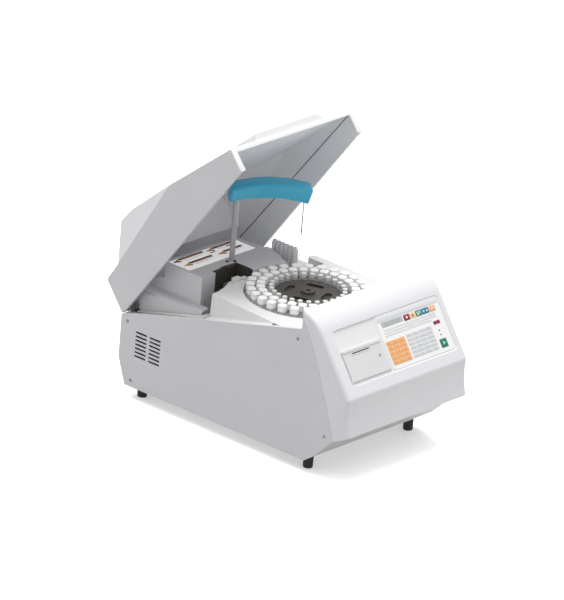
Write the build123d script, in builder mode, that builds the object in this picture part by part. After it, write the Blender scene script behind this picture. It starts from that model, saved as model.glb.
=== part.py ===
from build123d import *
import os
from math import sin, cos, radians, hypot, sqrt, atan2, degrees

os.makedirs("parts", exist_ok=True)

# ---------------------------------------------------------------- dimensions
# Benchtop instrument, millimetres. X to the right, Y to the rear, Z up, floor at Z = 0,
# origin on the floor below the middle of the object with its lid raised.
HALF_W = 210.0          # half of the outer width
SKIN = 3.0              # thickness of the side panels
Y_REAR = 330.6          # rear edge of the side panels
SLOPE = 0.2575          # fall of the side panels' top edge, per mm towards the rear
Z_EDGE = 203.0          # height of that edge at the rear
FLOOR_TOP = 33.0        # upper face of the base pan

HY, HZ = 322.0, 206.0   # lid hinge axis
LID_OPEN = 40.1         # degrees that the lid stands open
LID_FRONT = -215.5      # front edge of the lid shell when shut
LID_WALL = 8.0          # both skins of the lid together
LID_SKIN = 4.0

CX, CY = 0.0, -53.0     # carousel axis
WELL_R = 149.6
RIM_Z = 322.0           # top of the deck
ROTOR_R = 147.2
RING_OUT, RING_IN, RING_TUBE = 134.5, 111.0, 86.0
N_OUT, N_IN, N_TUBE = 28, 28, 27
PHASE, TUBE_PHASE = 2.6, 9.0      # angle of the first place of the bottle and tube rings

COL_X, COL_Y = -17.0, 172.0     # arm column axis
TIP_X, TIP_Y = 105.0, 70.0      # probe and wash bore axis
ARM_CROWN = 543.0
COL_R = 6.5
DROP = 146.0                    # travel of the arm lift

PLAT_Z = 340.0          # top of the rear platform

FAS_Y, FAS_Z = -375.7, 215.2    # lower edge of the sloping fascia
FAS_ANG = 54.7                  # its slope in degrees
COVER_T = 3.5

MOT_X, MOT_Y = 100.0, -130.0    # carousel drive motor axis
PULLEY_R, PINION_R = 40.0, 10.0


def edge_z(y):
    """Height of the side panel's top edge at y."""
    return Z_EDGE + (Y_REAR - y) * SLOPE


def inset(points, t):
    """The open chain of points moved to its right-hand side by t."""
    lines = []
    for (x0, y0), (x1, y1) in zip(points, points[1:]):
        n = hypot(x1 - x0, y1 - y0)
        dx, dy = (x1 - x0) / n, (y1 - y0) / n
        lines.append((x0 + dy * t, y0 - dx * t, dx, dy))
    out = [(lines[0][0], lines[0][1])]
    for (ax, ay, adx, ady), (bx, by, bdx, bdy) in zip(lines, lines[1:]):
        det = adx * bdy - ady * bdx
        k = ((bx - ax) * bdy - (by - ay) * bdx) / det
        out.append((ax + adx * k, ay + ady * k))
    x1, y1 = points[-1]
    out.append((x1 + lines[-1][3] * t, y1 - lines[-1][2] * t))
    return out


# planes of the sloping fascia: local x = X, local y = up the slope, normal = outwards
sa, ca = sin(radians(FAS_ANG)), cos(radians(FAS_ANG))
FASCIA = Plane(origin=(0, FAS_Y, FAS_Z), x_dir=(1, 0, 0), z_dir=(0, -sa, ca))
# planes of the lid, drawn in the coordinates of the shut lid measured from the hinge axis
so, co = sin(radians(LID_OPEN)), cos(radians(LID_OPEN))
LID_SIDE = Plane(origin=(0, HY, HZ), x_dir=(0, co, -so), z_dir=(1, 0, 0))
LID_TOP = Plane(origin=(0, HY, HZ), x_dir=(1, 0, 0), z_dir=(0, so, co))
LID_FACE = Plane(origin=(0, HY, HZ), x_dir=(1, 0, 0), z_dir=(0, -co, so))


def lid_point(x, y, z):
    """Where a point of the shut lid is on the raised lid."""
    return (x, HY + (y - HY) * co + (z - HZ) * so, HZ - (y - HY) * so + (z - HZ) * co)


# ---------------------------------------------------------------- base
# floor pan: flat bottom with an upswept front and low upturned side rims
with BuildPart() as base_pan:
    with BuildSketch(Plane.YZ.offset(-204.5)):
        with BuildLine():
            Polyline((306, 30), (-256, 30), (-281, 47), (-340, 106), (-374, 123), (-372.7, 125.8),
                     (-338, 108.8), (-279.2, 50), (-255, 33), (306, 33), (306, 30))
        make_face()
    extrude(amount=409)
    with BuildSketch(Plane.YZ.offset(-204.5)):
        with BuildLine():
            Polyline((300, 33), (-254, 33), (-278, 50), (-278, 64), (300, 52), (300, 33))
        make_face()
    extrude(amount=2)
    with BuildSketch(Plane.YZ.offset(202.5)):
        with BuildLine():
            Polyline((300, 33), (-254, 33), (-278, 50), (-278, 64), (300, 52), (300, 33))
        make_face()
    extrude(amount=2)
    # air slots in the floor below the supply
    with BuildSketch(Plane.XY.offset(29)):
        with GridLocations(16, 0, 7, 1):
            with Locations((118, 200)):
                SlotOverall(70, 6, rotation=90)
    extrude(amount=5, mode=Mode.SUBTRACT)
base_pan.part.label = "base_pan"
export_step(base_pan.part, "parts/base_pan.step")

# four turned rubber feet
with BuildPart() as rubber_feet:
    with BuildSketch(Plane.XY):
        with Locations((-175.6, -242.5), (175.6, -242.5), (-175.6, 277.8), (175.6, 277.8)):
            Circle(11.5)
    extrude(amount=30, taper=-1.5)
    chamfer(rubber_feet.faces().sort_by(Axis.Z)[0:4].edges(), 1.2)
rubber_feet.part.label = "rubber_feet"
export_step(rubber_feet.part, "parts/rubber_feet.step")

# ---------------------------------------------------------------- side panels
seam = [(-220.2, 372), (-244.4, 338.2), (-284.4, 253.2), (-305.4, 198.2), (-339.2, 105.6)]


def side_outline():
    return [(Y_REAR, 93), (306, 30), (-256, 29.5), (-281, 47), (-339.2, 105.0)] + seam[::-1][1:] + [
        (-220.2, edge_z(-220.2)), (316, edge_z(316) - 0.4), (Y_REAR, 199.5), (Y_REAR, 93)]


SCREWS = [(309.8, 188.5), (287.5, 45.8), (-210, 317), (-312.3, 108.7)]
SCREW_R = 4.6
VENT_Z = [110.5 + i * 9.9 for i in range(7)]

with BuildPart() as side_panel_left:
    with BuildSketch(Plane.YZ.offset(-HALF_W)):
        with BuildLine():
            Polyline(*side_outline())
        make_face()
    extrude(amount=SKIN)
    # folded lip along the sloping top edge
    with BuildSketch(Plane.YZ.offset(-HALF_W)):
        with BuildLine():
            Polyline((-219, edge_z(-219)), (316, edge_z(316) - 0.4), (316, edge_z(316) - 3), (-219, edge_z(-219) - 3), (-219, edge_z(-219)))
        make_face()
    extrude(amount=11)
    # cooling slots
    with BuildSketch(Plane.YZ.offset(-HALF_W - 1)):
        with Locations(*[(y, z) for y in (264, 220.6) for z in VENT_Z]):
            SlotOverall(36, 5.2)
    extrude(amount=SKIN + 2, mode=Mode.SUBTRACT)
    # screw holes
    with BuildSketch(Plane.YZ.offset(-HALF_W - 1)):
        with Locations(*SCREWS):
            Circle(SCREW_R + 0.1)
    extrude(amount=SKIN + 2, mode=Mode.SUBTRACT)
side_panel_left.part.label = "side_panel_left"
export_step(side_panel_left.part, "parts/side_panel_left.step")

with BuildPart() as side_panel_right:
    with BuildSketch(Plane.YZ.offset(HALF_W - SKIN)):
        with BuildLine():
            Polyline(*side_outline())
        make_face()
    extrude(amount=SKIN)
    with BuildSketch(Plane.YZ.offset(HALF_W - 11)):
        with BuildLine():
            Polyline((-219, edge_z(-219)), (316, edge_z(316) - 0.4), (316, edge_z(316) - 3), (-219, edge_z(-219) - 3), (-219, edge_z(-219)))
        make_face()
    extrude(amount=11)
    with BuildSketch(Plane.YZ.offset(HALF_W - SKIN - 1)):
        with Locations(*[(y, z) for y in (264, 220.6) for z in VENT_Z]):
            SlotOverall(36, 5.2)
    extrude(amount=SKIN + 2, mode=Mode.SUBTRACT)
    with BuildSketch(Plane.YZ.offset(HALF_W - SKIN - 1)):
        with Locations(*SCREWS):
            Circle(SCREW_R + 0.1)
    extrude(amount=SKIN + 2, mode=Mode.SUBTRACT)
side_panel_right.part.label = "side_panel_right"
export_step(side_panel_right.part, "parts/side_panel_right.step")

# countersunk screws of the side panels, heads just below the skin
with BuildPart() as panel_screws:
    for side in (-1, 1):
        with BuildSketch(Plane.YZ.offset(side * (HALF_W - 0.4))):
            with Locations(*SCREWS):
                Circle(SCREW_R)
        extrude(amount=-side * 4.8)
        with BuildSketch(Plane.YZ.offset(side * (HALF_W - 0.4))):
            with Locations(*SCREWS):
                Rectangle(5.2, 1.2)
                Rectangle(1.2, 5.2)
        extrude(amount=-side * 1.4, mode=Mode.SUBTRACT)
panel_screws.part.label = "panel_screws"
export_step(panel_screws.part, "parts/panel_screws.step")

# ---------------------------------------------------------------- rear panel
INLET_X, SWITCH_X, FAN_X, PORT_X = 150.0, 108.0, -110.0, 20.0
with BuildPart() as rear_panel:
    with BuildSketch(Plane.YZ.offset(-206.4)):
        with BuildLine():
            Polyline((330, 200.5), (330, 93.2), (306.4, 33.2), (303.4, 33.2), (327.5, 93.8), (327.5, 194.6),
                     (318, 194.6), (318, 196.8), (327.5, 196.8), (327.5, 200.5), (330, 200.5))
        make_face()
    extrude(amount=412.8)
    # openings: mains inlet, rocker, fan, signal ports, tube ports
    with BuildSketch(Plane.XZ.offset(-335)):
        with Locations((INLET_X, 128)):
            RectangleRounded(28.4, 22.4, 2)
        with Locations((SWITCH_X, 128)):
            Rectangle(28.2, 21.2)
        with Locations((FAN_X, 144)):
            Circle(37)
        with Locations((PORT_X, 128), (PORT_X, 158)):
            Rectangle(32.4, 11.4)
    extrude(amount=12, mode=Mode.SUBTRACT)
rear_panel.part.label = "rear_panel"
export_step(rear_panel.part, "parts/rear_panel.step")

# appliance inlet: flanged socket with three blades in a cavity open to the rear
with BuildPart() as power_inlet:
    with BuildSketch(Plane.XZ.offset(-330)):
        with Locations((INLET_X, 128)):
            RectangleRounded(33, 27, 3)
    extrude(amount=-2.5)
    with BuildSketch(Plane.XZ.offset(-330)):
        with Locations((INLET_X, 128)):
            RectangleRounded(27.8, 21.8, 1.8)
    extrude(amount=20)
    with BuildSketch(Plane.XZ.offset(-332.5)):
        with Locations((INLET_X, 128)):
            RectangleRounded(23.8, 17, 3.5)
    extrude(amount=18.5, mode=Mode.SUBTRACT)
    with BuildSketch(Plane.XZ.offset(-314)):
        with Locations((INLET_X - 7, 126), (INLET_X + 7, 126), (INLET_X, 130.2)):
            Rectangle(2, 4)
    extrude(amount=-12)
power_inlet.part.label = "power_inlet"
export_step(power_inlet.part, "parts/power_inlet.step")

# rocker frame with two side walls that carry the rocker's trunnions
with BuildPart() as switch_frame:
    with BuildSketch(Plane.XZ.offset(-330)):
        with Locations((SWITCH_X, 128)):
            Rectangle(32, 25)
            Rectangle(23.6, 16.6, mode=Mode.SUBTRACT)
    extrude(amount=-1.8)
    with BuildSketch(Plane.XZ.offset(-330)):
        with Locations((SWITCH_X, 128)):
            Rectangle(27.8, 20.8)
            Rectangle(23.6, 16.6, mode=Mode.SUBTRACT)
    extrude(amount=16)
    with BuildSketch(Plane.XZ.offset(-314)):
        with Locations((SWITCH_X, 128)):
            Rectangle(27.8, 20.8)
    extrude(amount=2)
    with BuildSketch(Plane.XY.offset(115)):
        with Locations((SWITCH_X, 325)):
            Circle(1.55)
    extrude(amount=26, mode=Mode.SUBTRACT)
switch_frame.part.label = "switch_frame"
export_step(switch_frame.part, "parts/switch_frame.step")

# rocker lever, rocks about a vertical axis; the pressed half is sunk in the frame
with BuildPart() as power_rocker:
    with BuildSketch(Plane.XY.offset(120.2)):
        with BuildLine():
            Polyline((SWITCH_X - 9.8, 330.2), (SWITCH_X - 10, 326), (SWITCH_X - 4, 320), (SWITCH_X + 4, 320),
                     (SWITCH_X + 10, 326), (SWITCH_X + 9.4, 333.6), (SWITCH_X, 331.0), (SWITCH_X - 9.8, 330.2))
        make_face()
    extrude(amount=15.6)
    with BuildSketch(Plane.XY.offset(118)):
        with Locations((SWITCH_X, 325)):
            Circle(1.5)
    extrude(amount=20)
power_rocker.part.label = "power_rocker"
export_step(power_rocker.part, "parts/power_rocker.step")

# two signal ports: shells with a pin insert
with BuildPart() as signal_ports:
    for zz in (128, 158):
        with BuildSketch(Plane.XZ.offset(-330)):
            with Locations((PORT_X, zz)):
                Rectangle(38, 13)
        extrude(amount=-1.2)
        with BuildSketch(Plane.XZ.offset(-330)):
            with Locations((PORT_X, zz)):
                Rectangle(32, 11)
        extrude(amount=12)
        with BuildSketch(Plane.XZ.offset(-331.2)):
            with Locations((PORT_X, zz)):
                RectangleRounded(20, 8.4, 2)
        extrude(amount=-5)
        with BuildSketch(Plane.XZ.offset(-336.2)):
            with Locations((PORT_X, zz)):
                RectangleRounded(18.6, 7, 1.6)
        extrude(amount=4.2, mode=Mode.SUBTRACT)
        with BuildSketch(Plane.XZ.offset(-332)):
            with Locations(*[(PORT_X - 6 + 3 * i, zz + 1.4) for i in range(5)]):
                Circle(0.6)
            with Locations(*[(PORT_X - 4.5 + 3 * i, zz - 1.4) for i in range(4)]):
                Circle(0.6)
        extrude(amount=-3)
signal_ports.part.label = "signal_ports"
export_step(signal_ports.part, "parts/signal_ports.step")

# cooling fan frame behind the rear panel, with a guard of rings on four spokes
with BuildPart() as cooling_fan:
    with BuildSketch(Plane.XZ.offset(-327.5)):
        with Locations((FAN_X, 144)):
            RectangleRounded(80, 80, 4)
            Circle(36.6, mode=Mode.SUBTRACT)
    extrude(amount=25)
    with BuildSketch(Plane.XZ.offset(-306)):
        with Locations((FAN_X, 144)):
            Circle(16)
            Rectangle(76, 5)
            Rectangle(5, 76)
    extrude(amount=3.5)
    with BuildSketch(Plane.XZ.offset(-306)):
        with Locations((FAN_X, 144)):
            Circle(3.0)
    extrude(amount=-14)
cooling_fan.part.label = "cooling_fan"
export_step(cooling_fan.part, "parts/cooling_fan.step")

with BuildPart() as fan_guard:
    with BuildSketch(Plane.XZ.offset(-330)):
        with Locations((FAN_X, 144)):
            for r in (14, 22, 30, 38.5):
                Circle(r)
                Circle(r - 1.6, mode=Mode.SUBTRACT)
            Rectangle(98, 2.4, rotation=45)
            Rectangle(98, 2.4, rotation=-45)
    extrude(amount=-1.8)
fan_guard.part.label = "fan_guard"
export_step(fan_guard.part, "parts/fan_guard.step")

# seven-bladed fan rotor running on the frame's spindle
with BuildPart() as fan_rotor:
    with BuildSketch(Plane.XZ.offset(-309)):
        with Locations((FAN_X, 144)):
            Circle(15)
            Circle(3.05, mode=Mode.SUBTRACT)
    extrude(amount=-12)
    with BuildSketch(Plane.XZ.offset(-321)):
        with Locations((FAN_X, 144)):
            Circle(15)
    extrude(amount=-2)
    with BuildSketch(Plane.XZ.offset(-310)):
        with Locations((FAN_X, 144)):
            with PolarLocations(24, 7):
                Rectangle(21, 3.2, rotation=12)
    extrude(amount=-10)
fan_rotor.part.label = "fan_rotor"
export_step(fan_rotor.part, "parts/fan_rotor.step")

# ---------------------------------------------------------------- front cover
front_chain = [(-383.6, 126), (FAS_Y, FAS_Z), (FAS_Y + 170 * ca, FAS_Z + 170 * sa), (-266, 366.8), (-253, 377), (-238, 385.2), (-221, 391.5)]
inner_chain = inset(front_chain, COVER_T)
LOWER_MID = (-374.4, 170.5)     # middle of the hollow lower front
COVER_R = 10.0          # rounding of the cover's outer corners
with BuildPart() as cover_outside:
    with BuildSketch(Plane.YZ.offset(-HALF_W)):
        with BuildLine():
            Line((-340, 105), front_chain[0])
            ThreePointArc(front_chain[0], LOWER_MID, front_chain[1])
            Line(front_chain[1], front_chain[2])
            Spline(*front_chain[2:], tangents=[(ca, sa), (0.94, 0.33)])
            Polyline(front_chain[-1], (-221, 372), (-245, 338), (-285, 253), (-306, 198), (-340, 105))
        make_face()
    extrude(amount=2 * HALF_W)
    fillet([e for e in cover_outside.edges().filter_by(Axis.X, reverse=True)
            if abs(abs(e.center().X) - HALF_W) < 0.01
            and (e.center().Z > 215 and (e.center().Z - 215.2) > 1.4119 * (e.center().Y + 375.7) - 4.5
                 or e.center().Y < -372 and 150 < e.center().Z < 215)]
           + [e for e in cover_outside.edges().filter_by(Axis.X)
              if abs(e.center().Y - FAS_Y) < 0.1 and abs(e.center().Z - FAS_Z) < 0.1], COVER_R)
with BuildPart() as cover_inside:
    with BuildSketch(Plane.YZ.offset(-HALF_W + COVER_T)):
        with BuildLine():
            Polyline((-384, 90), (-380.9, 117.7), (-380.2, 125.4))
            ThreePointArc((-380.2, 125.4), (LOWER_MID[0] + COVER_T, LOWER_MID[1]), inner_chain[1])
            Line(inner_chain[1], inner_chain[2])
            Spline(*inner_chain[2:], tangents=[(ca, sa), (0.94, 0.33)])
            Polyline(inner_chain[-1], (-200, inner_chain[-1][1] + 3), (-200, 90), (-384, 90))
        make_face()
    extrude(amount=2 * (HALF_W - COVER_T))
with BuildPart() as front_cover:
    add(cover_outside.part)
    add(cover_inside.part, mode=Mode.SUBTRACT)
    # rear wall facing the carousel
    with BuildSketch(Plane.XZ.offset(221)):
        with Locations((0, 342.7)):
            Rectangle(2 * 206.4, 93.4)
        fillet(vertices().sort_by(Axis.Z)[-2:], 8)
    extrude(amount=3.5)
    # window of the sloping face, X -175 to 187
    with BuildSketch(FASCIA):
        with Locations((6, 96.5)):
            RectangleRounded(362, 133, 8)
    extrude(amount=-5, both=True, mode=Mode.SUBTRACT)
    # eased edge of the window
    with BuildSketch(FASCIA):
        with Locations((6, 96.5)):
            RectangleRounded(366, 137, 10)
    extrude(amount=-2.0, taper=45, mode=Mode.SUBTRACT)
front_cover.part.label = "front_cover"
export_step(front_cover.part, "parts/front_cover.step")

# backing panel of the window, with the printer mouth and the door's hinge ears
with BuildPart() as fascia_panel:
    with BuildSketch(FASCIA.offset(-COVER_T - 3.1)):
        with Locations((6, 95)):
            Rectangle(380, 138.4)
        with Locations((-106.5, 74.5)):
            Rectangle(125, 69, mode=Mode.SUBTRACT)
    extrude(amount=3)
    with BuildSketch(FASCIA.offset(-COVER_T - 0.1)):
        with Locations((-173.8, 39.3), (-38.9, 39.3)):
            Rectangle(2.0, 5.4)
    extrude(amount=4.4)
    # low step that frames the keypad
    with BuildSketch(FASCIA.offset(-COVER_T - 0.1)):
        with Locations((78, 96.5)):
            RectangleRounded(216, 131, 7)
    extrude(amount=1.4)
    with BuildSketch(Plane.YZ.offset(-180)):
        with Locations((FAS_Y + ca * 39.3 + sa * 1.5, FAS_Z + sa * 39.3 - ca * 1.5)):
            Circle(1.05)
    extrude(amount=150, mode=Mode.SUBTRACT)
fascia_panel.part.label = "fascia_panel"
export_step(fascia_panel.part, "parts/fascia_panel.step")

# printed membrane keypad
with BuildPart() as keypad_membrane:
    with BuildSketch(FASCIA.offset(-COVER_T + 1.3)):
        with Locations((78, 96.5)):
            RectangleRounded(212, 127, 5)
        with Locations((20, 138.5)):
            Rectangle(74, 13, mode=Mode.SUBTRACT)
    extrude(amount=0.8)
keypad_membrane.part.label = "keypad_membrane"
export_step(keypad_membrane.part, "parts/keypad_membrane.step")

with BuildPart() as display_window:
    with BuildSketch(FASCIA.offset(-COVER_T + 1.3)):
        with Locations((20, 138.5)):
            Rectangle(73.6, 12.6)
    extrude(amount=1.0)
display_window.part.label = "display_window"
export_step(display_window.part, "parts/display_window.step")

# ---------------------------------------------------------------- printer
PIN_Y = FAS_Y + ca * 39.3 + sa * 1.5     # door hinge axis, 1.5 mm below the fascia's skin
PIN_Z = FAS_Z + sa * 39.3 - ca * 1.5
with BuildPart() as printer_door:
    with BuildSketch(Plane.YZ.offset(-172)):
        with Locations((PIN_Y, PIN_Z)):
            Circle(1.9)
        with Locations(Location((PIN_Y + ca * 36.6, PIN_Z + sa * 36.6, 0))):
            Rectangle(73.2, 3.8, rotation=FAS_ANG)
    extrude(amount=131.4)
    # lip along the top edge
    with BuildSketch(FASCIA.offset(0.3)):
        with Locations((-106.3, 109.5)):
            RectangleRounded(131.4, 6, 1)
    extrude(amount=1.6)
    # paper slot, lock bore, raised bezel of the slot
    with BuildSketch(FASCIA.offset(0.3)):
        with Locations((-112, 101.5)):
            RectangleRounded(66, 7, 1.5)
    extrude(amount=1.0)
    with BuildSketch(FASCIA.offset(6)):
        with Locations((-112, 101.5)):
            Rectangle(60, 2.6)
        with Locations((-58, 77)):
            Circle(3.55)
    extrude(amount=-14, mode=Mode.SUBTRACT)
    with BuildSketch(Plane.YZ.offset(-174.4)):
        with Locations((PIN_Y, PIN_Z)):
            Circle(1.0)
    extrude(amount=136.2)
printer_door.part.label = "printer_door"
export_step(printer_door.part, "parts/printer_door.step")

# quarter-turn lock of the door: slotted head and a tongue behind the door
with BuildPart() as door_lock:
    with BuildSketch(FASCIA.offset(0.9)):
        with Locations((-58, 77)):
            Circle(3.5)
    extrude(amount=-5.4)
    with BuildSketch(FASCIA.offset(0.9)):
        with Locations((-58, 77)):
            Rectangle(5.2, 1.1)
    extrude(amount=-1.6, mode=Mode.SUBTRACT)
    with BuildSketch(FASCIA.offset(-4.5)):
        with Locations((-58, 77)):
            Circle(3.5)
        with Locations((-54.5, 77)):
            Rectangle(12, 5)
    extrude(amount=-1.6)
door_lock.part.label = "door_lock"
export_step(door_lock.part, "parts/door_lock.step")

# open-fronted printer bay with the print head block on its back wall
BAY0 = -COVER_T - 3.2
with BuildPart() as printer_bay:
    with BuildSketch(FASCIA.offset(BAY0)):
        with Locations((-106.5, 74.5)):
            Rectangle(131, 75)
            Rectangle(126.6, 70.6, mode=Mode.SUBTRACT)
    extrude(amount=-66)
    with BuildSketch(FASCIA.offset(BAY0 - 66)):
        with Locations((-106.5, 74.5)):
            Rectangle(131, 75)
    extrude(amount=-2.2)
    # print head bar above the platen
    with BuildSketch(FASCIA.offset(BAY0 - 22)):
        with Locations((-111.3, 98)):
            Rectangle(66, 14)
    extrude(amount=-8)
    with BuildSketch(FASCIA.offset(BAY0 - 22)):
        with Locations((-146, 98), (-76.6, 98)):
            Rectangle(3.6, 16)
    extrude(amount=-30)
    with BuildSketch(FASCIA.offset(BAY0 - 48)):
        with Locations((-111.3, 104)):
            Rectangle(70, 12)
    extrude(amount=-4)
    # shaft bores of the platen and the roll spindle
    with BuildSketch(Plane.YZ.offset(-173)):
        with Locations((FAS_Y + ca * 98 + sa * 17, FAS_Z + sa * 98 - ca * 17)):
            Circle(2.05)
    extrude(amount=134, mode=Mode.SUBTRACT)
printer_bay.part.label = "printer_bay"
export_step(printer_bay.part, "parts/printer_bay.step")

PL_Y, PL_Z = FAS_Y + ca * 98 + sa * 17, FAS_Z + sa * 98 - ca * 17
with BuildPart() as platen_roller:
    with BuildSketch(Plane.YZ.offset(-143)):
        with Locations((PL_Y, PL_Z)):
            Circle(6)
    extrude(amount=63)
    with BuildSketch(Plane.YZ.offset(-171.5)):
        with Locations((PL_Y, PL_Z)):
            Circle(2.0)
    extrude(amount=130)
    with BuildSketch(Plane.YZ.offset(-54)):
        with Locations((PL_Y, PL_Z)):
            Circle(7.5)
    extrude(amount=5)
platen_roller.part.label = "platen_roller"
export_step(platen_roller.part, "parts/platen_roller.step")

RO_Y, RO_Z = FAS_Y + ca * 67 + sa * 42, FAS_Z + sa * 67 - ca * 42
with BuildPart() as roll_spindle:
    with BuildSketch(Plane.YZ.offset(-169.8)):
        with Locations((RO_Y, RO_Z)):
            Circle(5.9)
    extrude(amount=126.6)
    with BuildSketch(Plane.YZ.offset(-145.5)):
        with Locations((RO_Y, RO_Z)):
            Circle(9)
    extrude(amount=3)
    with BuildSketch(Plane.YZ.offset(-81.5)):
        with Locations((RO_Y, RO_Z)):
            Circle(9)
    extrude(amount=3)
roll_spindle.part.label = "roll_spindle"
export_step(roll_spindle.part, "parts/roll_spindle.step")

with BuildPart() as paper_roll:
    with BuildSketch(Plane.YZ.offset(-142)):
        with Locations((RO_Y, RO_Z)):
            Circle(22)
            Circle(5.97, mode=Mode.SUBTRACT)
    extrude(amount=60)
paper_roll.part.label = "paper_roll"
export_step(paper_roll.part, "parts/paper_roll.step")

# ---------------------------------------------------------------- deck
with BuildPart() as deck_tray:
    # top plate with the carousel opening
    with BuildSketch(Plane.XY.offset(RIM_Z - 3)):
        with BuildLine():
            Polyline((-176.5, 86), (-193, -135), (-190, -168), (-172, -205), (-160, -217), (196, -217), (197, -212), (197, 92),
                     (190, 101), (180, 104), (174, 100), (172, 92), (172, 49), (100, 49), (60, 86), (-28, 96),
                     (-32, 106), (-58, 112), (-92, 112), (-112, 101), (-132, 93.5), (-150, 89), (-176.5, 86))
        make_face()
        with Locations((CX, CY)):
            Circle(WELL_R, mode=Mode.SUBTRACT)
    extrude(amount=3)
    # outer side wall of the right-hand block
    with BuildSketch(Plane.XY.offset(295.2)):
        with Locations((195.75, -60)):
            Rectangle(2.5, 310)
        with Locations((173.2, 74)):
            Rectangle(2.4, 50)
        with Locations((184.5, 97.5)):
            Rectangle(20, 2.4)
    extrude(amount=25)
    # well: wall and floor
    with BuildSketch(Plane.XY.offset(240)):
        with Locations((CX, CY)):
            Circle(WELL_R + 2.5)
            Circle(WELL_R, mode=Mode.SUBTRACT)
    extrude(amount=80)
    with BuildSketch(Plane.XY.offset(237)):
        with Locations((CX, CY)):
            Circle(WELL_R + 2.5)
            Circle(20, mode=Mode.SUBTRACT)
    extrude(amount=3)
    # raised post beside the notch
    with BuildSketch(Plane.XY.offset(RIM_Z - 1)):
        with Locations((-74, 104.5)):
            RectangleRounded(22, 13, 2.5)
    extrude(amount=10)
    with BuildSketch(Plane.XY.offset(RIM_Z - 1)):
        with Locations((-50, 103)):
            RectangleRounded(18, 12, 2)
    extrude(amount=5)
    # left wall with a flange that runs out to the side panel's lip
    for yy, xt, xb in ((86.0, -176.5, -179.0), (-118.0, -191.5, -194.5)):
        with BuildSketch(Plane.XZ.offset(-yy)):
            with BuildLine():
                Polyline((xt, RIM_Z), (xb, edge_z(yy) + 1.2), (-198.4, edge_z(yy) - 0.6), (-198.4, edge_z(yy) - 7), (-196.0, edge_z(yy) - 7),
                         (-196.0, edge_z(yy) - 2.8), (xb + 2.4, edge_z(yy) - 1.6), (xt + 2.6, RIM_Z - 3), (xt, RIM_Z))
            make_face()
    loft(ruled=True)
deck_tray.part.label = "deck_tray"
export_step(deck_tray.part, "parts/deck_tray.step")

# lower tray behind the deck: sloping left ledge, rear shelf for the hinges, raised right wing
with BuildPart() as service_tray:
    with BuildSketch(Plane.XY.offset(240)):
        with Locations((20.5, 178)):
            Rectangle(355, 168)
        with Locations((CX, CY)):
            Circle(WELL_R + 3.5, mode=Mode.SUBTRACT)
        with Locations((23, 190)):
            Rectangle(118, 80, mode=Mode.SUBTRACT)
    extrude(amount=3)
    with BuildSketch(Plane.XY.offset(199.4)):
        with Locations((20.5, 260.75)):
            Rectangle(355, 2.5)
    extrude(amount=43)
    # ledge parallel to the side panel's edge, its outer margin drawing away to the rear
    with BuildSketch(Plane.YZ.offset(-197.6)):
        with BuildLine():
            Polyline((88.5, edge_z(88.5) + 1), (300, edge_z(300) + 1), (300, edge_z(300) - 1.5), (88.5, edge_z(88.5) - 1.5), (88.5, edge_z(88.5) + 1))
        make_face()
    extrude(amount=40.6)
    with BuildSketch(Plane.XY.offset(180)):
        with BuildLine():
            Polyline((-199, 112), (-197.4, 112), (-190, 301), (-199, 301), (-199, 112))
        make_face()
    extrude(amount=100, mode=Mode.SUBTRACT)
    with BuildSketch(Plane.YZ.offset(-157)):
        with BuildLine():
            Polyline((94, 240), (94, edge_z(94) + 1), (300, edge_z(300) + 1), (300, edge_z(300) - 1.5), (181, 240), (94, 240))
        make_face()
    extrude(amount=2.5)
    with BuildSketch(Plane.XY.offset(197)):
        with Locations((0, 288.6)):
            Rectangle(396, 58.2)
    extrude(amount=2.5)
    with BuildSketch(Plane.XY.offset(292)):
        with BuildLine():
            Polyline((109, 106.2), (198, 106.2), (198, 250), (109, 250), (109, 106.2))
        make_face()
        with BuildLine():
            Polyline((84, 51), (171.6, 51), (171.6, 106.2), (84, 106.2), (84, 51))
        make_face()
        with Locations((CX, CY)):
            Circle(WELL_R + 3.5, mode=Mode.SUBTRACT)
        with Locations((TIP_X, TIP_Y)):
            Circle(9.4, mode=Mode.SUBTRACT)
    extrude(amount=3)
    with BuildSketch(Plane.XY.offset(242)):
        with Locations((196.8, 178)):
            Rectangle(2.4, 143)
        with Locations((153.5, 248.8)):
            Rectangle(89, 2.4)
    extrude(amount=51)
service_tray.part.label = "service_tray"
export_step(service_tray.part, "parts/service_tray.step")

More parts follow.
